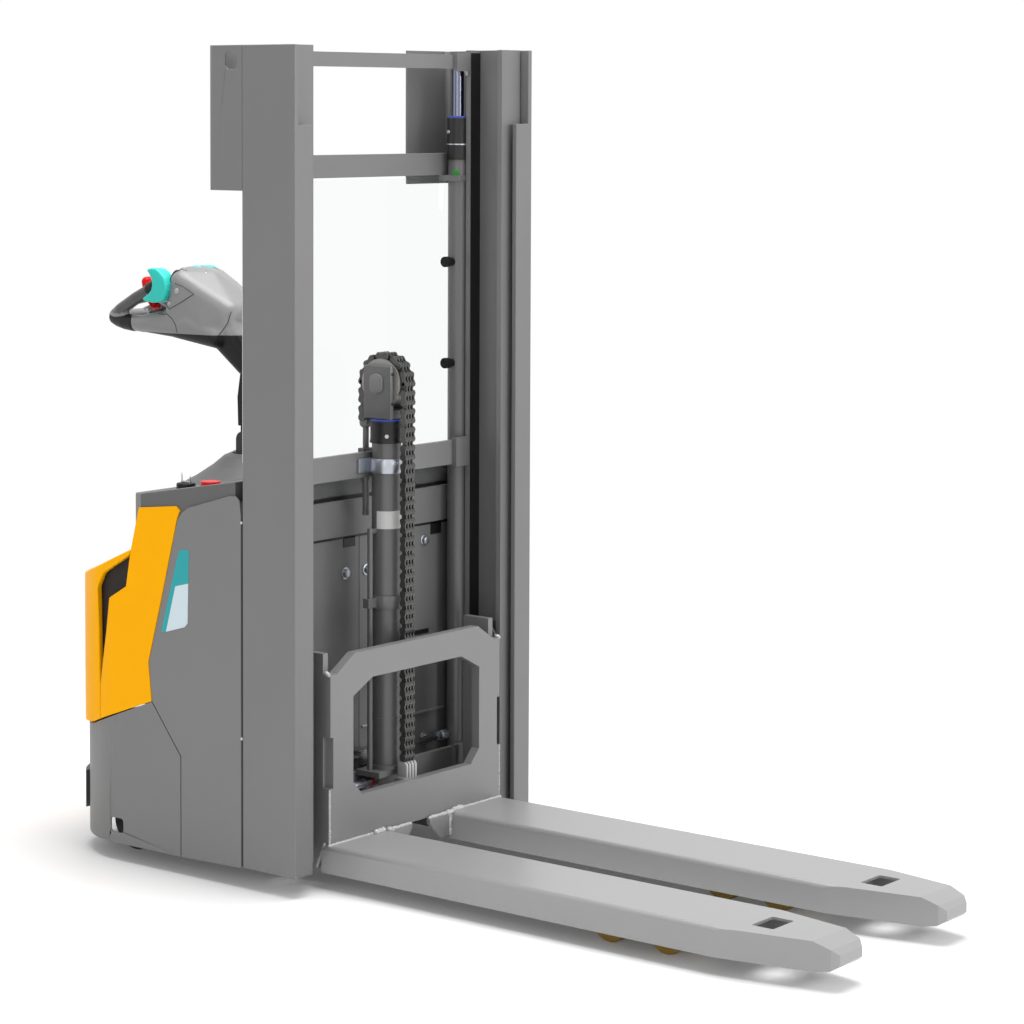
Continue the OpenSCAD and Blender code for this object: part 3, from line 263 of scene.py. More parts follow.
# %% Finishes
finish = {
    "badge_pale": grained_plastic("badge_pale", screen(205, 220, 228), 0.3),
    "badge_grey": grained_plastic("badge_grey", screen(206, 206, 205), 0.35),
    "badge_teal": grained_plastic("badge_teal", screen(26, 160, 164), 0.3),
    "mast": sprayed_paint("mast_paint", screen(117, 117, 117), 0.42, metallic=0.15),
    "frame": sprayed_paint("frame_paint", screen(82, 82, 84), 0.5),
    "cylinder": sprayed_paint("cylinder_paint", screen(106, 106, 106), 0.34, metallic=0.2),
    "carriage": sprayed_paint("carriage_paint", screen(128, 128, 128), 0.4, metallic=0.2),
    "fork": sprayed_paint("fork_paint", screen(148, 148, 148), 0.34, metallic=0.1),
    "panel": sprayed_paint("panel_paint", screen(108, 108, 108), 0.5),
    "black_steel": sprayed_paint("black_paint", screen(18, 18, 19), 0.42),
    "cover": grained_plastic("cover_plastic", screen(120, 120, 120)),
    "yellow": grained_plastic("yellow_plastic", screen(255, 178, 0), 0.4, drift=0.01, shine=0.06),
    "deck": grained_plastic("deck_plastic", screen(94, 94, 94), 0.55, grain=900, depth=0.3),
    "cowl": grained_plastic("cowl_plastic", screen(104, 103, 103), 0.5),
    # The tray is dark plastic, and its dark brown also holds the painted shade of the recess under the yellow
    # hood.
    "tray": grained_plastic("tray_plastic_with_painted_shade", screen(38, 33, 31), 0.6, shine=0.25),
    "dark_plastic": grained_plastic("dark_plastic", screen(16, 16, 16), 0.45, shine=0.25),
    "tiller_plastic": grained_plastic("tiller_plastic", screen(128, 128, 128), 0.36, shine=0.5),
    "teal": grained_plastic("teal_plastic", screen(40, 196, 184), 0.3, drift=0.02),
    "red": grained_plastic("red_plastic", screen(214, 8, 10), 0.35, drift=0.02, shine=0.2),
    "chrome": bare_metal("chrome_plate", screen(126, 130, 148), 0.14),
    "zinc": bare_metal("zinc_plate", screen(186, 190, 198), 0.36),
    "pipe": bare_metal("pipe_steel", screen(165, 165, 167), 0.28),
    "roller": bare_metal("roller_steel", screen(120, 118, 116), 0.35),
    "sheave": sprayed_paint("sheave_iron", screen(158, 156, 152), 0.36, metallic=0.5),
    "chain": sprayed_paint("chain_steel", screen(86, 86, 85), 0.24, metallic=0.6),
    "aluminium": bare_metal("cast_aluminium", screen(180, 181, 183), 0.4),
    "drive_tyre": grained_plastic("drive_tyre", screen(96, 62, 42), 0.7, grain=500, depth=0.35),
    "castor_tyre": grained_plastic("castor_tyre", screen(44, 44, 45), 0.65, grain=500, depth=0.35),
    "load_tyre": grained_plastic("load_tyre", screen(150, 120, 44), 0.5, grain=500, depth=0.3),
    "clear": clear_sheet("clear_guard"),
}
print("finishes", len(finish))

# %% Finishes on the CAD pieces
worn_by = {
    "mast": "outer_mast_left outer_mast_right outer_mast_plates "
            "inner_mast_left inner_mast_right inner_mast_bars",
    "frame": "chassis_frame support_arm_left support_arm_right bogie_left bogie_right",
    "cylinder": "lift_cylinders free_lift_barrel lift_rod_yoke",
    "carriage": "carriage_frame",
    "fork": "fork_left fork_right",
    "panel": "front_panel pump_unit",
    "black_steel": "battery drive_unit",
    "cover": "side_cover_left side_cover_right lower_cover",
    "yellow": "yellow_panel_left yellow_panel_right rear_bow",
    "deck": "deck_cover",
    "cowl": "tiller_cowl",
    "tray": "storage_tray",
    "dark_plastic": "screen_knobs key_switch ignition_key tiller_arm",
    "tiller_plastic": "tiller_head",
    "teal": "speed_butterfly lift_rocker",
    "red": "emergency_stop belly_button",
    "chrome": "piston_rods",
    "zinc": "cylinder_clamps castor_fork_left castor_fork_right",
    "pipe": "hydraulic_pipes",
    "roller": "mast_rollers_lower mast_rollers_upper carriage_rollers_lower carriage_rollers_upper",
    "sheave": "chain_sheave",
    "chain": "chain_front chain_rear",
    "aluminium": "motor_controller",
    "drive_tyre": "drive_wheel",
    "castor_tyre": "castor_wheel_left castor_wheel_right",
    "load_tyre": "load_roller_left_front load_roller_left_rear "
                 "load_roller_right_front load_roller_right_rear",
    "clear": "hand_guard_screen",
}


def give_finish(obj, key):
    obj.data.materials.clear()
    obj.data.materials.append(finish[key])


for key, names in worn_by.items():
    for name in names.split():
        give_finish(nodes[name], key)
bare = [name for name in nodes if not any(name in names.split() for names in worn_by.values())]
print("CAD pieces without a finish:", bare)

# %% [markdown]
# ## Broken edges
# No bent or sawn edge is knife sharp. A Bevel modifier on the CAD pieces rounds each edge by a
# millimetre or two, so that it catches a thin line of light. The CAD mesh is loose triangles, so a Weld
# modifier joins them first, and neither changes the mesh itself.


# %% Rounded edges on the CAD pieces
SAME_CORNER = 0.00001
SHARP_ANGLE = 32


def soften(obj, width):
    weld = obj.modifiers.new("join_triangles", "WELD")
    weld.merge_threshold = SAME_CORNER
    edges = obj.modifiers.new("round_edges", "BEVEL")
    edges.width = width / 1000
    edges.segments = 2
    edges.limit_method = "ANGLE"
    edges.angle_limit = math.radians(SHARP_ANGLE)
    edges.harden_normals = True
    edges.use_clamp_overlap = True


edge_radius = {
    0.8: "cylinder_clamps",
    1.0: "outer_mast_plates front_panel",
    1.2: "side_cover_left side_cover_right lower_cover yellow_panel_left yellow_panel_right",
    1.5: "inner_mast_bars carriage_frame support_arm_left support_arm_right",
    2.0: "outer_mast_left outer_mast_right inner_mast_left inner_mast_right fork_left fork_right deck_cover",
    2.5: "emergency_stop",
    4.0: "rear_bow",
}
for radius, names in edge_radius.items():
    for name in names.split():
        soften(nodes[name], radius)
print("rounded", sum(len(names.split()) for names in edge_radius.values()))

# %% [markdown]
# ## Modelling by hand, in code
# Each new piece starts from a primitive and is shaped in edit mode, as at the screen. The helpers below
# do what the mouse would do: they open a piece for editing, pick the faces or edges that lie in some
# place, close it again, and at last give the piece its name, its finish and the body that it rides on.


# %% Helpers for modelling
def take(obj):
    bpy.ops.object.select_all(action="DESELECT")
    obj.select_set(True)
    bpy.context.view_layer.objects.active = obj


@contextmanager
def editing(obj, mode="FACE"):
    take(obj)
    bpy.ops.object.mode_set(mode="EDIT")
    bpy.ops.mesh.select_mode(type=mode)
    bpy.ops.mesh.select_all(action="DESELECT")
    yield
    bpy.ops.object.mode_set(mode="OBJECT")


def pick_faces(obj, where):
    bpy.ops.mesh.select_mode(type="FACE")
    bpy.ops.mesh.select_all(action="DESELECT")
    mesh = bmesh.from_edit_mesh(obj.data)
    for face in mesh.faces:
        face.select_set(where(face.calc_center_median(), face.normal))
    bmesh.update_edit_mesh(obj.data)


def pick_edges(obj, where):
    bpy.ops.mesh.select_mode(type="EDGE")
    bpy.ops.mesh.select_all(action="DESELECT")
    mesh = bmesh.from_edit_mesh(obj.data)
    for edge in mesh.edges:
        a, b = (v.co for v in edge.verts)
        edge.select_set(where(a, b))
    bmesh.update_edit_mesh(obj.data)


def start_cube(low, high):
    bpy.ops.object.select_all(action="DESELECT")
    bpy.ops.mesh.primitive_cube_add(size=1, location=(low + high) / 2)
    cube = bpy.context.object
    cube.scale = high - low
    bpy.ops.object.transform_apply(location=True, rotation=True, scale=True)
    return cube


def start_rod(begin, end, radius, sides=32):
    bpy.ops.object.select_all(action="DESELECT")
    along = end - begin
    bpy.ops.mesh.primitive_cylinder_add(
        vertices=sides, radius=radius / 1000, depth=along.length, location=(begin + end) / 2,
        rotation=along.to_track_quat("Z", "Y").to_euler())
    bpy.ops.object.transform_apply(location=True, rotation=True, scale=True)
    return bpy.context.object


def round_off(obj, width, segments=2, angle=30):
    take(obj)
    edges = obj.modifiers.new("round_off", "BEVEL")
    edges.width = width / 1000
    edges.segments = segments
    edges.limit_method = "ANGLE"
    edges.angle_limit = math.radians(angle)
    bpy.ops.object.modifier_apply(modifier=edges.name)
    bpy.ops.object.shade_smooth_by_angle(angle=math.radians(40))
    return obj


def trim(obj, place, normal, clear):
    """Cuts obj with a plane, takes the outer or inner side away and closes the cut."""
    with editing(obj):
        bpy.ops.mesh.select_all(action="SELECT")
        bpy.ops.mesh.bisect(plane_co=place, plane_no=normal, use_fill=True,
                            clear_outer=clear == "outer", clear_inner=clear == "inner")


def slab(outline, x, thick):
    """A slab seen from the side: outline holds places (y, z), x its inner face."""
    side = -1 if x < 0 else 1
    bpy.ops.object.select_all(action="DESELECT")
    bpy.ops.mesh.primitive_plane_add(size=1)
    sheet = bpy.context.object
    with editing(sheet, "VERT"):
        bpy.ops.mesh.select_all(action="SELECT")
        bpy.ops.mesh.delete(type="VERT")
        mesh = bmesh.from_edit_mesh(sheet.data)
        mesh.faces.new([mesh.verts.new(at(x, y, z)) for y, z in outline])
        bmesh.update_edit_mesh(sheet.data)
        bpy.ops.mesh.select_all(action="SELECT")
        bpy.ops.mesh.extrude_region_move(TRANSFORM_OT_translate={"value": (side * thick / 1000, 0, 0)})
        bpy.ops.mesh.select_all(action="SELECT")
        bpy.ops.mesh.normals_make_consistent(inside=False)
    return sheet


def copy_of(obj, turn):
    twin = obj.copy()
    twin.data = obj.data.copy()
    bpy.context.scene.collection.objects.link(twin)
    twin.data.transform(turn)
    return twin


def joined(parts):
    take(parts[0])
    for part in parts[1:]:
        part.select_set(True)
    bpy.ops.object.join()
    return bpy.context.object


def settle(obj, name, key, body, *stands_for):
    """Names a piece, gives it its finish and its body, and hides the CAD nodes it stands for."""
    obj.name = name
    obj.data.name = name
    give_finish(obj, key)
    if body:
        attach(obj, body)
    if stands_for:
        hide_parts(*stands_for)
    return obj


# %% [markdown]
# ## Leaf chain
# The carriage hangs on a leaf chain: flat plates with two round ends, laid side by side and held by
# pins. Rows of four plates and rows of three take turns, so small dark gaps show between them. One
# plate is a short slab with its ends pushed out in arcs. It is copied along the chain's path, which
# rises from the anchor of the carriage, bends over the sheave and ends behind it in a hook on the cross bar.

# %% One chain plate
PITCH = 19.05
LINK_HALF = 8.3
LINK_THICK = 3.7
LINK_WAIST = 0.62
END_STEPS = ((4.6, 0.82), (1.9, 0.5), (0.5, 0.4))
PIN_HALF = 15.8
PIN_R = 4.2
SHEAVE_Y = 98.0
SHEAVE_Z = 1003.0
CHAIN_R = 57.0


def chain_plate():
    bpy.ops.object.select_all(action="DESELECT")
    bpy.ops.mesh.primitive_cube_add(size=1)
    plate = bpy.context.object
    plate.scale = (LINK_THICK / 1000, 2 * LINK_HALF / 1000, PITCH / 1000)
    bpy.ops.object.transform_apply(location=True, rotation=True, scale=True)
    with editing(plate):
        for end in (1, -1):
            for step, wide in END_STEPS:
                pick_faces(plate, lambda c, n: n.z * end > 0.9)
                bpy.ops.mesh.extrude_region_move(
                    TRANSFORM_OT_translate={"value": (0, 0, end * step / 1000)})
                bpy.ops.transform.resize(value=(1, wide, 1))
        bpy.ops.mesh.select_all(action="SELECT")
        bpy.ops.mesh.bisect(plane_co=(0, 0, 0), plane_no=(0, 0, 1))
    for v in plate.data.vertices:
        if abs(v.co.z) < 0.0001:
            v.co.y *= LINK_WAIST
    return plate


plate = chain_plate()
pin = start_rod(Vector((-PIN_HALF / 1000, 0, 0)), Vector((PIN_HALF / 1000, 0, 0)), PIN_R, 10)
print("plate faces", len(plate.data.polygons))


# %% Rows of plates along a path
ROW_OF_FOUR = (-13.8, -4.6, 4.6, 13.8)
ROW_OF_THREE = (-9.2, 0.0, 9.2)


def chain_run(name, spots, first=0):
    parts = []
    for i in range(len(spots) - 1):
        a, b = spots[i], spots[i + 1]
        lean = math.atan2(b.y - a.y, b.z - a.z)
        turn = Matrix.Translation((a + b) / 2) @ Matrix.Rotation(-lean, 4, "X")
        for x in (ROW_OF_THREE if (i + first) % 2 else ROW_OF_FOUR):
            parts.append(copy_of(plate, turn @ Matrix.Translation((x / 1000, 0, 0))))
    for spot in spots:
        parts.append(copy_of(pin, Matrix.Translation(spot)))
    run = joined(parts)
    run.name = name
    return run


def arc_spot(s):
    a = s / CHAIN_R
    return at(0, SHEAVE_Y - CHAIN_R * math.cos(a), SHEAVE_Z + CHAIN_R * math.sin(a))


front_count = 42
front_low = SHEAVE_Z - front_count * PITCH
front_spots = [at(0, SHEAVE_Y - CHAIN_R, front_low + i * PITCH) for i in range(front_count + 1)]
bend_count = 9
bend_pitch = math.pi * CHAIN_R / bend_count
bend_spots = [arc_spot(i * bend_pitch) for i in range(bend_count + 1)]
rear_count = 4
rear_spots = [at(0, SHEAVE_Y + CHAIN_R, SHEAVE_Z - i * PITCH) for i in range(rear_count + 1)]
front_chain = chain_run("leaf_chain_front", front_spots)
bend_chain = chain_run("leaf_chain_bend", bend_spots)
rear_chain = chain_run("leaf_chain_rear", rear_spots, 1)
for spare in (plate, pin):
    bpy.data.objects.remove(spare)
settle(front_chain, "leaf_chain_front", "chain", "pulley", "chain_front")
settle(rear_chain, "leaf_chain_rear", "chain", None, "chain_rear")
HOOK_LOW, HOOK_HIGH, EYE_Z = 862, 908, 916
hook = [start_rod(at(0, SHEAVE_Y + CHAIN_R, HOOK_LOW), at(0, SHEAVE_Y + CHAIN_R, HOOK_HIGH), 6.5, 24),
        start_rod(at(-9, SHEAVE_Y + CHAIN_R, EYE_Z), at(9, SHEAVE_Y + CHAIN_R, EYE_Z), 11, 32)]
settle(round_off(joined(hook), 1.5), "rear_chain_hook", "carriage", "inner_mast")
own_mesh(front_chain)
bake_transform(rear_chain)
print("chain triangles", sum(len(o.data.polygons) for o in (front_chain, bend_chain, rear_chain)))

# %% [markdown]
# ## Yoke on the free lift rod
# The rod pushes up a yoke of two thick cheeks that hold the sheave's axle. The axle ends in a boss with
# two flats, so that it can't turn. Cheeks and foot are slabs with broken edges. The boss is a short rod
# whose sides are cut off with a bisect, and small screws close the grease holes in front.

# %% Yoke, rod and boss
FREE_HEAD_TOP = 923.0
ROD_R = 20.0
ROD_LOW = 285
CHEEK_X, CHEEK_HALF = 27, 5
CHEEK_FRONT, CHEEK_BACK, CHEEK_TOP = 61, 135, 1040
FOOT_HALF = 29.5
BOSS_R, BOSS_FLAT = 21, 16.5
parts = [round_off(start_cube(at(s * CHEEK_X - CHEEK_HALF, CHEEK_FRONT, FREE_HEAD_TOP + 6.5),
                              at(s * CHEEK_X + CHEEK_HALF, CHEEK_BACK, CHEEK_TOP)), 1.6)
         for s in (-1, 1)]
foot = start_cube(at(-FOOT_HALF, CHEEK_FRONT + 5, FREE_HEAD_TOP + 7),
                  at(FOOT_HALF, CHEEK_BACK - 5, FREE_HEAD_TOP + 24))
parts.append(round_off(foot, 1.2))
yoke = joined(parts)
bosses = []
for s in (-1, 1):
    boss = start_rod(at(s * 31, SHEAVE_Y, SHEAVE_Z), at(s * 37.5, SHEAVE_Y, SHEAVE_Z), BOSS_R, 40)
    for side in (-1, 1):
        trim(boss, at(0, SHEAVE_Y + side * BOSS_FLAT, 0), (0, side, 0), "outer")
    bosses.append(round_off(boss, 1.4))
settle(yoke, "sheave_yoke", "cylinder", "pulley", "lift_rod_yoke")
settle(joined(bosses), "axle_bosses", "carriage", "pulley")
plugs = [start_rod(at(s * CHEEK_X, CHEEK_FRONT + 1, z), at(s * CHEEK_X, CHEEK_FRONT - 2.2, z), 3.4, 20)
         for s in (-1, 1) for z in (962, 1024)]
settle(round_off(joined(plugs), 0.7), "yoke_plug_screws", "black_steel", "pulley")
settle(bend_chain, "leaf_chain_bend", "chain", "pulley")
axle = start_rod(at(-30, SHEAVE_Y, SHEAVE_Z), at(30, SHEAVE_Y, SHEAVE_Z), 11.9, 32)
rod = start_rod(at(0, SHEAVE_Y, ROD_LOW), at(0, SHEAVE_Y, FREE_HEAD_TOP + 2), ROD_R - 0.1, 48)
settle(joined([axle, rod]), "free_lift_rod", "chrome", "pulley")
print("yoke faces", len(yoke.data.polygons))

# %% [markdown]
# ## Cylinder heads
# Each lift cylinder ends in a black head with a blue wiper ring round the rod. Two turned grooves run
# round the head, and a small plug screw sits in its side. A groove is a loop of faces that is pressed
# inwards. The side cylinders also have a band of bare metal, and the middle one a blank plate.


# %% Head with its grooves, ring and screw
GROOVE_DEPTH = 0.955


def cylinder_head(name, x, y, low, high, radius, rod_radius, screw_turn, body):
    black = start_rod(at(x, y, low), at(x, y, high), radius, 56)
    upper, lower = (high - 8.5, high - 6), (low + 9, low + 11.5)
    with editing(black):
        for z in (*reversed(upper), *lower):
            bpy.ops.mesh.select_all(action="SELECT")
            bpy.ops.mesh.bisect(plane_co=at(x, y, z), plane_no=(0, 0, 1))
        for a, b in (upper, lower):
            pick_faces(black, lambda c, n: abs(n.z) < 0.5 and a / 1000 < c.z < b / 1000)
            bpy.ops.transform.resize(value=(GROOVE_DEPTH, GROOVE_DEPTH, 1))
        pick_faces(black, lambda c, n: n.z > 0.9)
        bpy.ops.mesh.inset(thickness=(radius - rod_radius - 2) / 1000)
        bpy.ops.transform.translate(value=(0, 0, -0.002))
    settle(round_off(black, 0.5), name + "_head", "black_steel", body)
    ring = start_rod(at(x, y, high - 2), at(x, y, high + 4.5), radius - 2, 48)
    with editing(ring):
        pick_faces(ring, lambda c, n: abs(n.z) > 0.9)
        bpy.ops.mesh.inset(thickness=(radius - 2 - rod_radius - 0.3) / 1000)
        bpy.ops.mesh.delete(type="FACE")
        bpy.ops.mesh.select_mode(type="EDGE")
        pick_edges(ring, lambda p, q: all(
            (v.xy - at(x, y, 0).xy).length < (rod_radius + 1) / 1000 for v in (p, q)))
        bpy.ops.mesh.bridge_edge_loops()
    settle(round_off(ring, 0.6), name + "_wiper", "blue", body)
    angle = math.radians(screw_turn)
    out = Vector((math.sin(angle), -math.cos(angle), 0))
    spot = at(x, y, high - 30) + out * (radius - 1) / 1000
    screw = start_rod(spot, spot + out * 0.0035, 4.2, 24)
    with editing(screw):
        pick_faces(screw, lambda c, n: n.dot(out) > 0.9)
        bpy.ops.mesh.inset(thickness=0.002)
        bpy.ops.mesh.extrude_region_move(TRANSFORM_OT_translate={"value": tuple(-out * 0.0016)})
    settle(round_off(screw, 0.4), name + "_plug_screw", "zinc", body)


finish["blue"] = grained_plastic("blue_wiper", screen(64, 84, 176), 0.35)
cylinder_head("free_lift", 0, SHEAVE_Y, 878, FREE_HEAD_TOP + 0.6, 36, ROD_R, -50, "inner_mast")

# %% Blank plate on the middle cylinder
BLANK_LOW, BLANK_HIGH, BLANK_R = 699, 736, 31.6
facing = Vector((-0.52, -0.854, 0))
plate = start_rod(at(0, SHEAVE_Y, BLANK_LOW), at(0, SHEAVE_Y, BLANK_HIGH), BLANK_R, 64)
trim(plate, at(0, SHEAVE_Y, 0) + facing * 0.016, facing, "inner")
settle(plate, "barrel_plate", "badge_grey", "inner_mast")
bpy.ops.object.shade_smooth_by_angle(angle=math.radians(30))
print("blank plate faces", len(plate.data.polygons))

# %% Heads of the side cylinders
SIDE_X, SIDE_Y = 308, 155
SIDE_HEAD_LOW, SIDE_HEAD_HIGH, SIDE_HEAD_R = 1464, 1554, 24.4
SIDE_ROD_R = 13
BAND_Z = 1496
for s, side in SIDES:
    cylinder_head("side_lift_" + side, s * SIDE_X, SIDE_Y, SIDE_HEAD_LOW, SIDE_HEAD_HIGH, SIDE_HEAD_R,
                  SIDE_ROD_R, -s * 106, "truck")
    band = start_rod(at(s * SIDE_X, SIDE_Y, BAND_Z), at(s * SIDE_X, SIDE_Y, BAND_Z + 2.5),
                     SIDE_HEAD_R + 0.4, 56)
    settle(band, "side_lift_band_" + side, "zinc", "truck")
print("heads done")

# %% [markdown]
# ## Grease and painted shade on the tracks, and the paint mark
# The rollers run on the front faces of the inner mast's rear flanges, where a strip of black grease
# stays. The strip is also painted shade: it stands for the deep shade in the gap between inner and outer
# mast. A strip is a thin slab just before the flange. Each side cylinder bears a small green paint mark.

# %% Tracks and marks
# Nearly black: grease on the flange, together with the painted shade of the gap between the masts.
finish["grease_and_shade"] = grained_plastic("roller_grease_and_painted_shade", screen(20, 20, 21), 0.3, grain=700, depth=0.4, drift=0.2)
finish["green"] = grained_plastic("green_mark", screen(20, 130, 30), 0.4)
TRACK_X, TRACK_Y, TRACK_Z = (307.5, 339.6), (118.2, 118.9), (46, 1694)
MARK_Z, MARK_R = 1435, 7.5
for s, side in SIDES:
    near, far = sorted(s * x for x in TRACK_X)
    # A thin black slab: grease and painted shade on the flange's front face.
    track = start_cube(at(near, TRACK_Y[0], TRACK_Z[0]), at(far, TRACK_Y[1], TRACK_Z[1]))
    settle(track, "grease_and_shade_strip_" + side, "grease_and_shade", "inner_mast")
    out = Vector((-s * 0.9, -0.43, 0))
    middle = at(s * SIDE_X, SIDE_Y, MARK_Z)
    mark = start_rod(middle + out * 0.0185, middle + out * 0.0225, MARK_R, 24)
    settle(round_off(mark, 1.5, 3), "paint_mark_" + side, "green", "truck")
print("tracks done")

# %% [markdown]
# ## Tiller head
# The head is one smooth moulding: a broad dome on a dark neck, from which two slim belts run back to the
# closed grip. It is blocked out with balls. A convex hull over a few balls gives each limb its taper,
# a voxel remesh melts the limbs together, and a few rounds of smoothing fair the joints.

# %% Balls and limbs
def limb(*balls):
    parts = []
    for x, y, z, r in balls:
        bpy.ops.object.select_all(action="DESELECT")
        bpy.ops.mesh.primitive_uv_sphere_add(segments=24, ring_count=14, radius=r / 1000,
                                             location=at(x, y, z))
        bpy.ops.object.transform_apply(location=True, rotation=True, scale=True)
        parts.append(bpy.context.object)
    body = joined(parts)
    with editing(body, "VERT"):
        bpy.ops.mesh.select_all(action="SELECT")
        bpy.ops.mesh.convex_hull()
    return body


def twin_limb(*balls):
    return [limb(*[(s * x, y, z, r) for x, y, z, r in balls]) for s in (-1, 1)]


def melted(parts, voxel, rounds):
    lump = joined(parts)
    remesh = lump.modifiers.new("melt", "REMESH")
    remesh.mode = "VOXEL"
    remesh.voxel_size = voxel / 1000
    fair = lump.modifiers.new("fair", "SMOOTH")
    fair.iterations = rounds
    for step in ("melt", "fair"):
        take(lump)
        bpy.ops.object.modifier_apply(modifier=step)
    return lump


dome = limb((-34, 517, 1130, 31), (34, 517, 1130, 31), (-46, 590, 1168, 31), (46, 590, 1168, 31),
            (-54, 636, 1194, 27), (54, 636, 1194, 27), (-60, 650, 1112, 23), (60, 650, 1112, 23),
            (-52, 560, 1104, 27), (52, 560, 1104, 27), (-20, 648, 1203, 24), (20, 648, 1203, 24),
            (0, 600, 1196, 24), (-42, 512, 1092, 22), (42, 512, 1092, 22))
nose = limb((-14, 655, 1192, 26), (14, 655, 1192, 26), (-14, 742, 1170, 25), (14, 742, 1170, 25),
            (0, 667, 1130, 22))
neck = limb((-12, 463, 1012, 22), (12, 463, 1012, 22), (-14, 476, 1012, 22), (14, 476, 1012, 22),
            (-36, 506, 1090, 26), (36, 506, 1090, 26), (-40, 540, 1084, 24), (40, 540, 1084, 24))
belts = twin_limb((54, 530, 1080, 25), (62, 640, 1094, 22), (60, 600, 1108, 24))
belts += twin_limb((60, 636, 1114, 23), (62, 640, 1096, 23), (63, 692, 1108, 21.5), (64, 740, 1100, 19))
belts += twin_limb((64, 740, 1099, 19), (60, 806, 1101, 16.5))
belts += twin_limb((60, 806, 1101, 16.5), (50, 840, 1109, 16))
grips = twin_limb((28, 705, 1170, 14), (66, 712, 1179, 14), (70, 760, 1155, 14))
grips += twin_limb((70, 760, 1155, 14), (64, 812, 1128, 14.5))
grips += twin_limb((64, 812, 1128, 14.5), (50, 843, 1112, 16))
bar = limb((-50, 843, 1109, 15.5), (50, 843, 1109, 15.5), (0, 848, 1109, 15.5))
NECK_FOOT = 1000.5
head = melted([dome, nose, neck, bar] + belts + grips, 3.0, 9)
trim(head, at(0, 0, NECK_FOOT), (0, 0, 1), "inner")
print("head faces", len(head.data.polygons))

# %% [markdown]
# ## Two colours and the seams of the head
# The upper shell is grey. Below a line that falls slightly towards the grip the shell is nearly black,
# like the arm. The mesh is cut along that line and the faces under it take the dark plastic, while the
# tubes of the grip take a dark grey one. Seams are thin dark lines, laid over the shell and pulled onto
# it with a Shrinkwrap, half sunk like real gaps.

# %% Dark underside and grip
BELT_LINE, BELT_SLOPE = 1083, 0.01
BELT_Y = 700
GRIP_START, GRIP_BEND = 722, 806
GRIP_LOW, GRIP_SLOPE = 1.119, 0.42
take(head)
settle(head, "tiller_head_shell", "tiller_plastic", "tiller", "tiller_head")
head.data.materials.append(finish["dark_plastic"])
finish["grip"] = grained_plastic("grip_plastic", screen(70, 70, 71), 0.3, grain=1200, depth=0.08, shine=0.5)
head.data.materials.append(finish["grip"])
with editing(head):
    bpy.ops.mesh.select_all(action="SELECT")
    bpy.ops.mesh.bisect(plane_co=at(0, BELT_Y, BELT_LINE), plane_no=(0, BELT_SLOPE, 1))
for face in head.data.polygons:
    spot = face.center
    grip_edge = GRIP_LOW + GRIP_SLOPE * max(0, at(0, GRIP_BEND, 0).y - spot.y)
    if spot.z < BELT_LINE / 1000 + (at(0, BELT_Y, 0).y - spot.y) * BELT_SLOPE:
        face.material_index = 1
    elif spot.y > at(0, GRIP_START, 0).y and abs(spot.x) > 0.03 and spot.z > grip_edge:
        face.material_index = 2
bpy.ops.object.shade_smooth_by_angle(angle=math.radians(55))


# %% Seams laid on the head
SEAM_STEPS = 12


def seam(name, x, outline, width=0.9):
    """A thin dark line through the places (y, z) of outline, pulled onto the head from x."""
    bpy.ops.object.select_all(action="DESELECT")
    path = bpy.data.curves.new(name, "CURVE")
    path.dimensions = "3D"
    line = path.splines.new("POLY")
    spots = [at(x, y, z) for y, z in outline]
    fine = []
    for a, b in zip(spots, spots[1:]):
        fine += [a.lerp(b, i / SEAM_STEPS) for i in range(SEAM_STEPS)]
    fine.append(spots[-1])
    line.points.add(len(fine) - 1)
    for point, place in zip(line.points, fine):
        point.co = (*place, 1)
    cord = bpy.data.objects.new(name, path)
    bpy.context.scene.collection.objects.link(cord)
    take(cord)
    bpy.ops.object.convert(target="MESH")
    cord = bpy.context.object
    lay = cord.modifiers.new("lay", "SHRINKWRAP")
    lay.target = head
    bpy.ops.object.modifier_apply(modifier=lay.name)
    bpy.ops.object.convert(target="CURVE")
    bpy.context.object.data.bevel_depth = width / 1000
    bpy.context.object.data.bevel_resolution = 1
    bpy.ops.object.convert(target="MESH")
    cord = bpy.context.object
    settle(cord, name, "black_steel", "tiller")


BELT_SEAM = ((687, 1136), (660, 1128), (637, 1116), (627, 1103), (623, 1084))
BUTTON_PANEL_SEAM = ((671, 1146), (646, 1137), (610, 1154), (577, 1174), (591, 1181), (606, 1188),
                     (631, 1194))
TOP_PANEL_SEAM = ((665, 1215), (645, 1222), (623, 1228))
NECK_SEAM = ((513, 1084), (500, 1100), (481, 1117), (466, 1141))
for s, side in SIDES:
    seam("belt_seam_" + side, s * 90, BELT_SEAM)
    seam("button_panel_seam_" + side, s * 90, BUTTON_PANEL_SEAM)
    seam("top_panel_seam_" + side, s * 50, TOP_PANEL_SEAM, 0.8)
    seam("neck_seam_" + side, s * 70, NECK_SEAM)

# %% [markdown]
# ## Speed control and buttons of the tiller
# A teal wing sits on each side of the nose, behind a black collar. Each wing is a crescent slab with
# broadly rounded edges, and one shaft joins the two. Grey round push buttons sit on the side panels and
# on top, and the red reversing button closes the nose.

# %% Wings of the speed control
SHAFT_Y, SHAFT_Z = 677, 1186
WING_X, WING_THICK = 62, 33
CRESCENT = [(706, 1220), (698, 1224), (687, 1225), (675, 1223), (663, 1216), (653, 1205), (647, 1192),
            (646, 1178), (650, 1165), (658, 1155), (669, 1150), (690, 1149), (712, 1152), (721, 1156),
            (711, 1162), (700, 1169), (692, 1177), (689, 1188), (691, 1200), (698, 1212)]
wings = [round_off(slab(CRESCENT, s * WING_X, WING_THICK), 4.5, 4, 60) for s in (-1, 1)]
shaft = start_rod(at(-70, SHAFT_Y, SHAFT_Z), at(70, SHAFT_Y, SHAFT_Z), 7.9, 24)
settle(joined(wings + [shaft]), "speed_control_wings", "teal", "speed_butterfly", "speed_butterfly")
bpy.ops.object.shade_smooth_by_angle(angle=math.radians(50))
print("wings done")

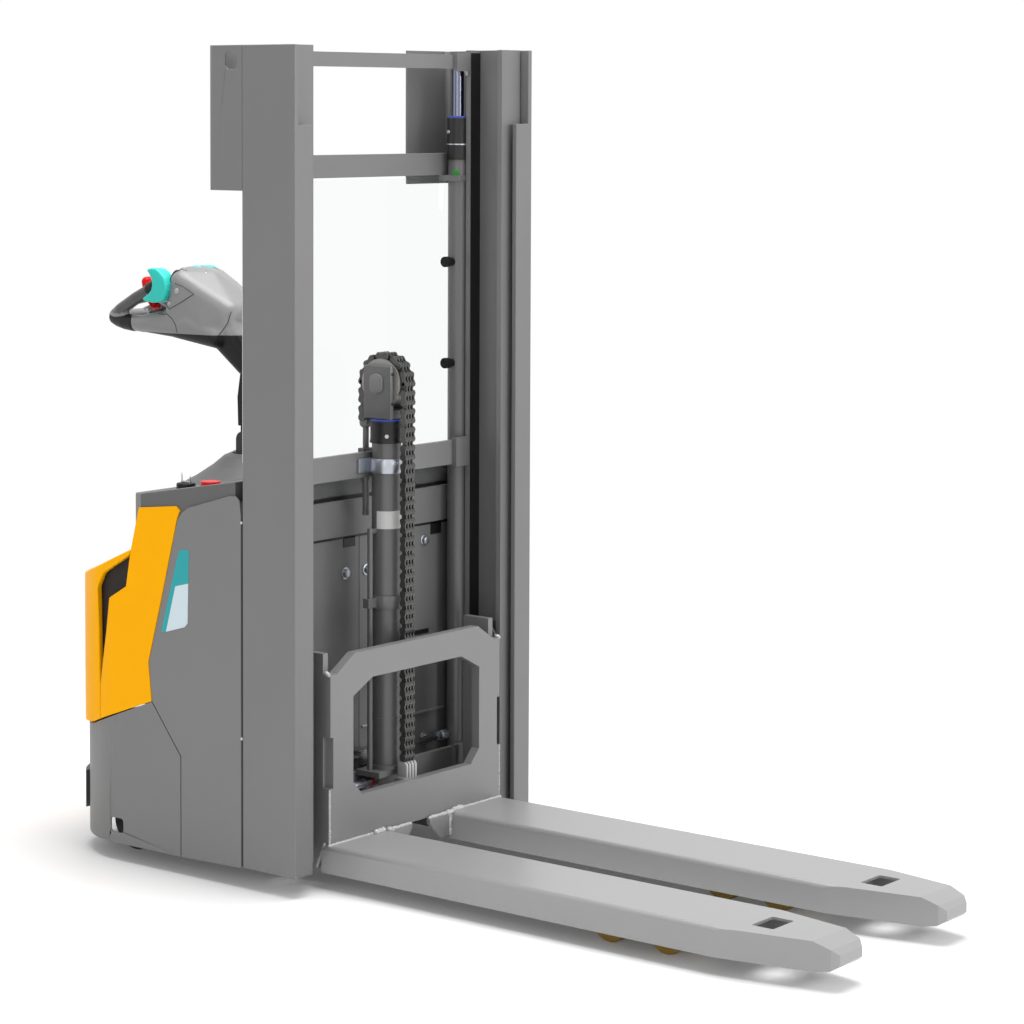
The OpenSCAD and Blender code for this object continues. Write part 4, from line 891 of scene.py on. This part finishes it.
# %% Collars before the wings, sleeves and pads of the grip
COLLAR_X, COLLAR_R, COLLAR_NARROW = 57, 40.5, 0.55
for s, side in SIDES:
    collar = start_rod(at(s * COLLAR_X, 632, 1179), at(s * COLLAR_X, 656, 1182), COLLAR_R, 56)
    collar.data.transform(Matrix.Translation((s * 0.0257, 0, 0))
                          @ Matrix.Diagonal((COLLAR_NARROW, 1, 1, 1)))
    settle(round_off(collar, 5, 4), "head_collar_" + side, "dark_plastic", "tiller")
    tube_sleeve = limb((s * 68, 716, 1177, 15.4), (s * 68, 702, 1182, 17))
    settle(tube_sleeve, "tube_sleeve_" + side, "dark_plastic", "tiller")
    patch = limb((s * 63.2, 772, 1098.8, 17.9), (s * 60.6, 800, 1100.6, 17.2), (s * 55, 826, 1104.6, 16.8),
                 (s * 51, 840, 1108.5, 16.8))
    settle(patch, "grip_pad_" + side, "dark_plastic", "tiller")
print("collars done")

# %% Push buttons, light and rocker
def stud(name, near, radius, rise, key):
    """A domed button set on the head's skin at the point nearest to `near`."""
    place, normal = head.closest_point_on_mesh(near)[1:3]
    button = start_rod(place - normal * 0.003, place + normal * rise / 1000, radius, 32)
    with editing(button):
        pick_faces(button, lambda c, n: n.dot(normal) > 0.9)
        bpy.ops.mesh.inset(thickness=radius / 3500)
        bpy.ops.transform.translate(value=tuple(normal * rise * 0.0006))
    settle(round_off(button, 0.6, 3), name, key, "tiller")


finish["button_grey"] = grained_plastic("button_grey", screen(168, 168, 168), 0.35)
for s, side in SIDES:
    stud("side_button_upper_" + side, at(s * 95, 625, 1177), 6.2, 1.3, "button_grey")
    stud("side_button_lower_" + side, at(s * 95, 652, 1149), 5.2, 1.3, "button_grey")
    stud("top_button_" + side, at(s * 42, 669, 1250), 5.2, 1.3, "button_grey")
stud("status_light", at(-30, 581, 1240), 2.0, 1.0, "badge_pale")
rocker = limb((-8, 634, 1218, 7), (8, 634, 1218, 7), (-8, 656, 1218, 7), (8, 656, 1218, 7), (0, 645, 1222, 7))
settle(rocker, "lift_rocker_cap", "teal", "lift_rocker", "lift_rocker")
bpy.ops.object.shade_smooth_by_angle(angle=math.radians(60))
belly = limb((-8, 789, 1188, 11), (8, 789, 1188, 11), (-8, 783, 1162, 11), (8, 783, 1162, 11),
             (-5, 768, 1136, 9), (5, 768, 1136, 9))
stem = start_rod(at(0, 763, 1168), at(0, 782, 1168), 5.9, 20)
settle(joined([belly, stem]), "belly_button_dome", "red", "belly_button", "belly_button")
bpy.ops.object.shade_smooth_by_angle(angle=math.radians(50))
print("buttons done")

# %% [markdown]
# ## Body details
# Small pieces finish the body: a plain two-tone badge on each side cover, a black strip with two screws
# in the gap between cover and mast, bolts, dark gaps and a fold on the panels behind the mast, and a key
# with a wire bow. Badges are thin slabs, and a gap is a thin black slab laid just before its panel.

# %% Plain badges
TEAL_OUTLINE = [(301, 676), (327, 672), (330, 668), (379, 502), (377, 498), (367, 500), (303, 606)]
PALE_OUTLINE = [(303, 606), (339, 597), (366, 500), (314, 515), (305, 524)]
COVER_SKIN = 384.7
for s, side in SIDES:
    teal = slab(TEAL_OUTLINE, s * COVER_SKIN, 0.8)
    settle(teal, "badge_teal_" + side, "badge_teal", "truck")
    pale = slab(PALE_OUTLINE, s * (COVER_SKIN + 0.2), 0.9)
    settle(pale, "badge_pale_" + side, "badge_pale", "truck")
print("badges done")

# %% Gap strips with their screws
STRIP_X, STRIP_Y, STRIP_Z = (345, 384), (153.3, 157.8), (46, 786)
SCREW_Y, SCREW_HEIGHTS, SCREW_R = 156, (744, 306), 3.2
for s, side in SIDES:
    low, high = sorted(s * x for x in STRIP_X)
    strip = start_cube(at(low, STRIP_Y[0], STRIP_Z[0]), at(high, STRIP_Y[1], STRIP_Z[1]))
    settle(strip, "gap_strip_" + side, "black_steel", "truck")
    heads = [start_rod(at(s * 380, SCREW_Y, z), at(s * 385.6, SCREW_Y, z), SCREW_R, 16)
             for z in SCREW_HEIGHTS]
    heads = round_off(joined(heads), 0.5)
    settle(heads, "cover_screws_" + side, "zinc", "truck")
print("gap strips done")

# %% Bolts and gaps of the panels
PANEL_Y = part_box("front_panel")[1].y * 1000 - ZERO_Y * 1000
BOLT_PLACES = ((-220, 636), (-24, 595), (240, 636), (46, 595), (-220, 200), (240, 200))
bolt_heads = []
for x, z in BOLT_PLACES:
    bolt_heads.append(start_rod(at(x, PANEL_Y - 13, z), at(x, PANEL_Y - 5, z), 9.6, 6))
    bolt_heads.append(start_rod(at(x, PANEL_Y - 6.5, z), at(x, PANEL_Y - 3.5, z), 13, 28))
bolt_heads = round_off(joined(bolt_heads), 0.8)
settle(bolt_heads, "panel_bolts", "zinc", "truck")
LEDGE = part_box("front_panel")[1].z * 1000
GAP_CORNERS = (((-332, 669), (20, 677)), ((24, 669), (332, 677)),
               ((-30, 650), (8, 672)), ((262, 646), (298, 672)))
gaps = [start_cube(at(-334, PANEL_Y - 6, LEDGE), at(334, PANEL_Y - 3, LEDGE + 8))]
for low, high in GAP_CORNERS:
    gaps.append(start_cube(at(low[0], PANEL_Y - 5.2, low[1]), at(high[0], PANEL_Y - 3.5, high[1])))
settle(joined(gaps), "panel_gaps", "black_steel", "truck")
print("panel at", round(PANEL_Y), "ledge", round(LEDGE))

# %% Key switch and key
low, high = (corner * 1000 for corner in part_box("key_switch"))
key_low, key_high = (corner * 1000 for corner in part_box("ignition_key"))
key_x = (key_low.x + key_high.x) / 2
key_y = (key_low.y + key_high.y) / 2 - ZERO_Y * 1000
housing = start_rod(at(key_x, key_y, high.z - 18), at(key_x, key_y, high.z - 1), 20, 48)
settle(round_off(housing, 3, 4), "key_switch_housing", "dark_plastic", "truck", "key_switch")
key = [start_rod(at(key_x, key_y + y, high.z), at(key_x, key_y + y * 1.1, high.z + rise), 1.4, 12)
       for y, rise in ((11, 19), (-11, 14))]
key.append(start_cube(at(key_x - 2, key_y - 12.5, high.z - 0.5), at(key_x + 2, key_y + 12.5, high.z + 3)))
settle(round_off(joined(key), 0.5), "key_bow", "aluminium", "ignition_key", "ignition_key")
print("key at", round(key_x), round(key_y))

# %% Fold and slot of the lower panel
ledge = start_cube(at(30, PANEL_Y - 8, 256), at(308, PANEL_Y - 3, 262))
settle(round_off(ledge, 1.0), "panel_fold", "carriage", "truck")
gap = start_cube(at(200, PANEL_Y - 5.0, 431), at(256, PANEL_Y - 3.6, 441))
settle(gap, "panel_slot", "black_steel", "truck")
print("fold and slot done")

# %% Lower clamp in the cylinder's paint
PAINTED_BELOW = 0.7
clamps = nodes["cylinder_clamps"]
clamps.data.materials.append(finish["cylinder"])
for face in clamps.data.polygons:
    if (clamps.matrix_world @ face.center).z < PAINTED_BELOW:
        face.material_index = 1
print("clamp faces", len(clamps.data.polygons))

# %% [markdown]
# ## Weld beads
# The carriage is welded up by hand, and the beads stay visible under the paint. Their paint is set
# lighter than the paint around them, a painted highlight for the glints on the beads. A bead is a row of
# flattened balls of slightly uneven size that overlap like scales. The beads run along the feet of the
# forks and up both edges of the plate, with a few lumps where a run stopped.

# %% Beads
# Lighter than the carriage and mast paint: a painted highlight on the beads, and on the chain anchor that
# shares it.
finish["weld"] = sprayed_paint("weld_paint_with_painted_highlight", screen(172, 172, 172), 0.35, metallic=0.25, drift=0.12,
                               skin=0.5, grain=260)


def bead(begin, end, radius):
    length = (end - begin).length * 1000
    steps = max(2, int(length / (radius * 0.8)))
    scales = []
    for i in range(steps + 1):
        bpy.ops.mesh.primitive_uv_sphere_add(segments=12, ring_count=8, radius=1,
                                             location=begin.lerp(end, i / steps))
        scale = bpy.context.object
        size = radius / 1000 * random.uniform(0.82, 1.18)
        scale.scale = (size, size * random.uniform(0.8, 1.1), size * random.uniform(0.75, 1.0))
        scale.rotation_euler = (random.uniform(-0.4, 0.4), random.uniform(-0.4, 0.4), 0)
        bpy.ops.object.transform_apply(location=True, rotation=True, scale=True)
        scales.append(scale)
    run = joined(scales)
    bpy.ops.object.shade_smooth()
    return run


FORK_IN, FORK_OUT, PLATE_HALF_WIDTH = 100, 285, 278
for s, side in SIDES:
    runs = [bead(at(s * (FORK_IN + 2), 11.5, 90.5), at(s * (FORK_OUT - 3), 11.5, 90.5), 3.2),
            bead(at(s * (PLATE_HALF_WIDTH + 0.5), 14, 92), at(s * (PLATE_HALF_WIDTH + 0.5), 14, 202), 2.8),
            bead(at(s * (PLATE_HALF_WIDTH + 2), 26, 91), at(s * (PLATE_HALF_WIDTH + 4), 44, 44), 4.2),
            bead(at(s * 118, 8, 92), at(s * 140, 7, 92), 8.2),
            bead(at(s * (PLATE_HALF_WIDTH + 1), 16, 437), at(s * (PLATE_HALF_WIDTH + 1), 22, 440), 5.0)]
    settle(joined(runs), "weld_beads_" + side, "weld", "carriage")
print("beads done")

# %% [markdown]
# ## Heel gussets, chain anchor and pipe fittings
# An upright plate with a sloping lower edge stands beside the heel of each fork. The chain ends in an
# anchor with four fingers, and the pipes of the cylinders end in hexagon nuts, one with a red seal ring.

# %% Gussets
GUSSET_IN, GUSSET_OUT = 29, 101
for s, side in SIDES:
    low, high = sorted((s * GUSSET_IN, s * GUSSET_OUT))
    gusset = start_cube(at(low, 2, 42), at(high, 12.5, 90))
    trim(gusset, at(s * GUSSET_IN, 4, 79), (-s * 37, 0, -72), "outer")
    settle(round_off(gusset, 1.2), "heel_gusset_" + side, "carriage", "carriage")
    seal = joined([bead(at(s * 31, 6, 90.5), at(s * 94, 6, 90.5), 4.2),
                   bead(at(s * 94, 5, 90), at(s * 103, 3, 92), 6.5),
                   bead(at(s * 97.5, 3.5, 46), at(s * 97.5, 3.5, 84), 5.0)])
    settle(seal, "gusset_welds_" + side, "weld", "carriage")
print("gussets done")

# %% Chain anchor with four fingers
STRAND_Y = SHEAVE_Y - CHAIN_R
FINGER_HALF, FINGER_PITCH = 2.9, 9.4
fingers = []
for i in range(4):
    x = (i - 1.5) * FINGER_PITCH
    finger = start_cube(at(x - FINGER_HALF, STRAND_Y - 13, 176), at(x + FINGER_HALF, STRAND_Y + 12, 206))
    with editing(finger):
        pick_faces(finger, lambda c, n: n.z > 0.9)
        bpy.ops.mesh.extrude_region_move(TRANSFORM_OT_translate={"value": (0, 0, 0.006)})
        bpy.ops.transform.resize(value=(1, 0.62, 1))
    fingers.append(round_off(finger, 1.0))
fingers.append(round_off(start_cube(at(-20, STRAND_Y - 11, 152), at(20, STRAND_Y + 11, 180)), 2))
# The anchor takes the lighter weld paint, which holds a painted highlight.
settle(joined(fingers), "chain_anchor_fingers", "weld", "carriage")

# %% Pipe fittings
PIPE_Y, PIPE_HEIGHTS = 166, (165, 205)
FEED_Y, FEED_Z = 119, 161
hexes = [start_rod(at(s * 266, PIPE_Y, z), at(s * 286, PIPE_Y, z), 12, 6)
         for s in (-1, 1) for z in PIPE_HEIGHTS]
hexes += [start_rod(at(s * 252, PIPE_Y, z), at(s * 266, PIPE_Y, z), 9.5, 24)
          for s in (-1, 1) for z in PIPE_HEIGHTS]
settle(round_off(joined(hexes), 0.9), "pipe_nuts", "zinc", "truck")
feed = [start_rod(at(begin, FEED_Y, FEED_Z), at(end, FEED_Y, FEED_Z), radius, sides)
        for begin, end, radius, sides in ((-96, -20, 8.5, 28), (-52, -33, 12.5, 6), (-24, -8, 12.5, 6))]
feed.append(start_rod(at(-6, FEED_Y, FEED_Z), at(-6, FEED_Y, FEED_Z + 21), 8.5, 24))
settle(round_off(joined(feed), 0.7), "free_lift_feed", "zinc", "inner_mast")
ring = start_rod(at(-32, FEED_Y, FEED_Z), at(-25, FEED_Y, FEED_Z), 10.5, 28)
settle(round_off(ring, 0.8), "feed_seal_ring", "red", "inner_mast")
print("fittings done")

# %% Welds of the top bar
for s, side in SIDES:
    lumps = joined([bead(at(s * 286, 129, 1686), at(s * 300, 129, 1688), 4),
                    bead(at(s * 303, 127, 1684), at(s * 303, 127, 1648), 4.4)])
    settle(lumps, "top_bar_welds_" + side, "weld", "inner_mast")
print("top welds done")

# %% [markdown]
# ## Studio
# A pale floor, one large lamp overhead, a softer one in front and a weak one from the left. The world
# shows pure white to the camera, to reflections and through the clear sheet, but lights the truck with
# much less than that, so that its greys keep their depth.

# %% Floor
FLOOR_GLOW = 0.07
bpy.ops.object.select_all(action="DESELECT")
bpy.ops.mesh.primitive_plane_add(size=60, location=(0, 0, 0))
floor = bpy.context.object
floor.name = "studio_floor"
floor_paint, floor_shader = new_material("floor_paint", screen(236, 236, 236), 0.95)
seen = add_node(floor_paint, "ShaderNodeLightPath")


def larger(material, first, first_output, second, second_output):
    node = add_node(material, "ShaderNodeMath")
    node.operation = "MAXIMUM"
    join(material, first, first_output, node, 0)
    join(material, second, second_output, node, 1)
    return node


show = larger(floor_paint, seen, "Is Camera Ray", seen, "Is Transmission Ray")
show = larger(floor_paint, show, "Value", seen, "Is Glossy Ray")
glow_level = add_node(floor_paint, "ShaderNodeMath")
glow_level.operation = "MULTIPLY"
glow_level.inputs[1].default_value = FLOOR_GLOW
join(floor_paint, show, "Value", glow_level, 0)
floor_glow = add_node(floor_paint, "ShaderNodeEmission")
join(floor_paint, glow_level, "Value", floor_glow, "Strength")
near_floor = add_node(floor_paint, "ShaderNodeAddShader")
join(floor_paint, floor_shader, "BSDF", near_floor, 0)
join(floor_paint, floor_glow, "Emission", near_floor, 1)

# %% Far floor, white to the camera
WHITE_FROM, WHITE_BEYOND = 1.5, 2.6
spot = add_node(floor_paint, "ShaderNodeTexCoord")
reach = add_node(floor_paint, "ShaderNodeVectorMath")
reach.operation = "LENGTH"
join(floor_paint, spot, "Object", reach, 0)
far = add_node(floor_paint, "ShaderNodeMapRange", From_Min=WHITE_FROM, From_Max=WHITE_BEYOND)
join(floor_paint, reach, "Value", far, "Value")
far_seen = add_node(floor_paint, "ShaderNodeMath")
far_seen.operation = "MULTIPLY"
join(floor_paint, far, "Result", far_seen, 0)
join(floor_paint, show, "Value", far_seen, 1)
far_white = add_node(floor_paint, "ShaderNodeEmission", Strength=1.0)
floor_mix = add_node(floor_paint, "ShaderNodeMixShader")
join(floor_paint, far_seen, "Value", floor_mix, 0)
join(floor_paint, near_floor, "Shader", floor_mix, 1)
join(floor_paint, far_white, "Emission", floor_mix, 2)
join(floor_paint, floor_mix, "Shader", floor_paint.node_tree.nodes["Material Output"], "Surface")
floor_shader.inputs["Specular IOR Level"].default_value = 0.0
floor.data.materials.append(floor_paint)
print("floor", tuple(round(v, 1) for v in floor.dimensions))

# %% World
FILL, WHITE = 0.5, 1.0
world = bpy.data.worlds.new("studio")
bpy.context.scene.world = world
world.use_nodes = True
tree = world.node_tree
tree.nodes.clear()
fill = tree.nodes.new("ShaderNodeBackground")
fill.inputs["Color"].default_value = (1, 1, 1, 1)
fill.inputs["Strength"].default_value = FILL
white = tree.nodes.new("ShaderNodeBackground")
white.inputs["Color"].default_value = (1, 1, 1, 1)
white.inputs["Strength"].default_value = WHITE
rays = tree.nodes.new("ShaderNodeLightPath")
sees = tree.nodes.new("ShaderNodeMath")
sees.operation = "MAXIMUM"
tree.links.new(rays.outputs["Is Camera Ray"], sees.inputs[0])
tree.links.new(rays.outputs["Is Transmission Ray"], sees.inputs[1])
shines = tree.nodes.new("ShaderNodeMath")
shines.operation = "MAXIMUM"
tree.links.new(sees.outputs["Value"], shines.inputs[0])
tree.links.new(rays.outputs["Is Glossy Ray"], shines.inputs[1])
either = tree.nodes.new("ShaderNodeMixShader")
tree.links.new(shines.outputs["Value"], either.inputs["Fac"])
tree.links.new(fill.outputs["Background"], either.inputs[1])
tree.links.new(white.outputs["Background"], either.inputs[2])
world_out = tree.nodes.new("ShaderNodeOutputWorld")
tree.links.new(either.outputs["Shader"], world_out.inputs["Surface"])
print("world fill", fill.inputs["Strength"].default_value)


# %% Lamps
def soft_lamp(name, place, aim, size, power):
    data = bpy.data.lights.new(name, "AREA")
    data.shape = "RECTANGLE"
    data.size, data.size_y = size
    data.energy = power
    lamp = bpy.data.objects.new(name, data)
    bpy.context.scene.collection.objects.link(lamp)
    lamp.location = place
    lamp.rotation_euler = (Vector(aim) - Vector(place)).to_track_quat("-Z", "Y").to_euler()
    return lamp


soft_lamp("overhead_lamp", (0.3, 0.1, 5.2), (0, 0, 0.6), (3.6, 3.6), 290)
soft_lamp("front_lamp", (1.6, -6.0, 2.6), (0, 0, 0.8), (4.0, 3.0), 190)
soft_lamp("left_lamp", (-6.0, -1.0, 2.4), (0, 0, 0.8), (3.5, 3.5), 66)

# %% Colour
bpy.context.scene.view_settings.view_transform = "Standard"
